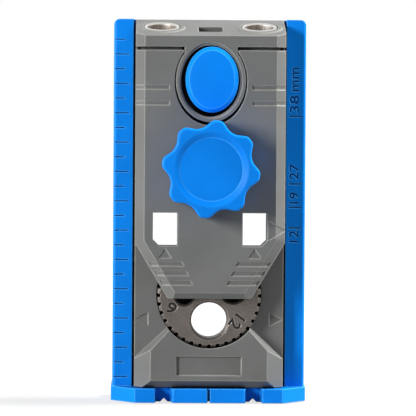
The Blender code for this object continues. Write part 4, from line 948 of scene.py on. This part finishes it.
def makeWasher(shape):
    outer, hole, low, high = shape["washer"]
    profile = [(hole, low), (hole, high - 0.15), (hole + 0.15, high), (outer - 0.3, high),
               (outer - 0.08, high - 0.1), (outer, high - 0.35), (outer, low + 0.1),
               (outer - 0.1, low), (hole, low)]
    piece = spun("clampWasher", profile, 72)
    standUp(piece, 0.0, shape["z"])
    giveMaterials(piece, zincPlate)
    smooth(piece)
    return finished(piece, "carriage", ["clamp_washer"])


def makeFlatBar(node, name, body, edge):
    # stamped from strip, so its edges are a little rounded
    piece = cleanCopy(node, name)
    applyModifier(piece, "BEVEL", width=edge * mm, segments=3, limit_method="ANGLE",
                  angle_limit=math.radians(50.0), use_clamp_overlap=True)
    giveMaterials(piece, zincPlate)
    smooth(piece)
    return finished(piece, body, [node])


brakeScrew = {
    "x": 0.35, "z": 109.3, "shank": 1.2, "top": 12.7, "head": 2.3,
    "headFace": 1.8, "headLow": 2.1, "headHigh": 3.4, "hex": 0.85, "hexDepth": 1.0,
}


def makeBrakeScrew(shape):
    shank, top, head = shape["shank"], shape["top"], shape["head"]
    low, face = shape["headLow"], shape["headFace"]
    profile = [(0.0, top), (shank - 0.2, top), (shank, top - 0.3), (shank, shape["headHigh"]),
               (head, low), (head - 0.05, low - 0.25), (head - 0.15, face), (0.0, face)]
    piece = spun("brakeScrew", profile, 48)
    bpy.ops.mesh.primitive_cylinder_add(vertices=6, radius=shape["hex"] * mm,
                                        depth=2.0 * shape["hexDepth"] * mm, location=(0, 0, face * mm))
    tool = newPiece("hexTool")
    bpy.ops.object.transform_apply(location=True, rotation=True, scale=True)
    carve(piece, tool)
    standUp(piece, shape["x"], shape["z"])
    giveMaterials(piece, zincPlate)
    smooth(piece)
    return finished(piece, "button", ["brake_screw"])


makeStud(clamp)
makeWasher(clamp)
makeFlatBar("clamp_nut", "clampNut", "nut", 0.3)
makeFlatBar("brake_bar", "brakeBar", "button", 0.3)
makeBrakeScrew(brakeScrew)
print("clamp and brake made")


def makeReturnSpring():
    piece = cleanCopy("button_spring", "buttonSpring")
    giveMaterials(piece, springWire)
    smooth(piece, 50.0)
    finished(piece, "carriage", ["button_spring"])
    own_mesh(piece)


makeReturnSpring()

# what stays as the CAD drew it, inside the carriage, takes its real finish
insideFinishes = {
    "turret_pivot_pin": polishedSteel, "turret_detent_ball": polishedSteel,
    "turret_detent_spring": springWire, "cover_screw_1": zincPlate, "cover_screw_2": zincPlate,
    "cover_screw_3": zincPlate, "cover_screw_4": zincPlate,
}
for node, surface in insideFinishes.items():
    for slot in nodes[node].material_slots:
        slot.material = surface


# floor, world and lamps

studio = {
    "worldFill": 0.08, "aim": (0.0, -0.02, 0.07),
    # a soft box at the front left, one that rakes the end face and the right chamfers, and two low ones
    "lamps": {
        "key": {"place": (-0.80, -0.66, 0.30), "size": 0.4, "power": 12.4},
        "high": {"place": (0.52, -0.04, 0.78), "size": 0.4, "power": 15.5},
        "right": {"place": (0.85, -0.03, 0.16), "size": 0.3, "power": 6.5},
        "left": {"place": (-0.85, -0.03, 0.05), "size": 0.3, "power": 5.0},
    },
    "floorSize": 6.0, "floorZ": -0.0004, "floorColour": 0.2,
    "floorGlow": (0.75, 1.0), "glowReach": (0.12, 0.5),  # near the jig, and far from it
}


def addLamp(name, look, aim):
    made = bpy.data.lights.new(name, "AREA")
    made.shape = "DISK"
    made.size = look["size"]
    made.energy = look["power"]
    lamp = bpy.data.objects.new(name, made)
    bpy.context.scene.collection.objects.link(lamp)
    lamp.location = look["place"]
    ahead = Vector(aim) - Vector(look["place"])
    lamp.rotation_euler = ahead.to_track_quat("-Z", "Y").to_euler()
    lamp.visible_glossy = name == "key"


def seenRays(tree):
    # 1 for the camera's rays and for reflections, and the node that tells them
    path = addNode(tree, "ShaderNodeLightPath")
    kinds = {0: path.outputs["Is Camera Ray"], 1: path.outputs["Is Glossy Ray"]}
    return addNode(tree, "ShaderNodeMath", {"operation": "MAXIMUM"}, kinds).outputs[0], path


def makeWorld(look):
    # white to look at, and weak as a light
    world = bpy.data.worlds.new("studio")
    bpy.context.scene.world = world
    world.use_nodes = True
    tree = world.node_tree
    tree.nodes.clear()
    seen, path = seenRays(tree)
    kinds = {0: seen, 1: path.outputs["Is Transmission Ray"]}
    direct = addNode(tree, "ShaderNodeMath", {"operation": "MAXIMUM"}, kinds).outputs[0]
    level = remap(tree, direct, (0.0, 1.0), (look["worldFill"], 1.0))
    white = addNode(tree, "ShaderNodeBackground", {"Color": (1.0, 1.0, 1.0, 1.0)}, {"Strength": level})
    addNode(tree, "ShaderNodeOutputWorld", None, {"Surface": white.outputs["Background"]})


def makeFloor(look):
    bpy.ops.mesh.primitive_plane_add(size=look["floorSize"], location=(0.0, 0.0, look["floorZ"]))
    floor = newPiece("floor")
    bpy.ops.object.transform_apply(location=True, rotation=True, scale=True)
    surface = bpy.data.materials.new("paperSweep")  # matt white paper
    surface.use_nodes = True
    tree = surface.node_tree
    tree.nodes.clear()
    seen = seenRays(tree)[0]
    # the paper's own white rises away from the jig, so that its shadow shows and no horizon does
    where = addNode(tree, "ShaderNodeTexCoord").outputs["Object"]
    far = addNode(tree, "ShaderNodeVectorMath", {"operation": "LENGTH"}, {0: where}).outputs["Value"]
    level = remap(tree, far, look["glowReach"], look["floorGlow"])
    share = addNode(tree, "ShaderNodeMath", {"operation": "MULTIPLY"}, {0: seen, 1: level}).outputs[0]
    paper = (look["floorColour"],) * 3 + (1.0,)
    lit = addNode(tree, "ShaderNodeBsdfDiffuse", {"Color": paper}).outputs["BSDF"]
    glow = addNode(tree, "ShaderNodeEmission", {"Color": (1.0, 1.0, 1.0, 1.0)}, {"Strength": share})
    both = addNode(tree, "ShaderNodeAddShader", None, {0: lit, 1: glow.outputs["Emission"]})
    addNode(tree, "ShaderNodeOutputMaterial", None, {"Surface": both.outputs["Shader"]})
    giveMaterials(floor, surface)


def makeStudio(look):
    makeWorld(look)
    makeFloor(look)
    for name, lamp in look["lamps"].items():
        addLamp(name, lamp, look["aim"])
    bpy.context.scene.view_settings.view_transform = "Standard"


makeStudio(studio)
print("studio set")

deselectAll()
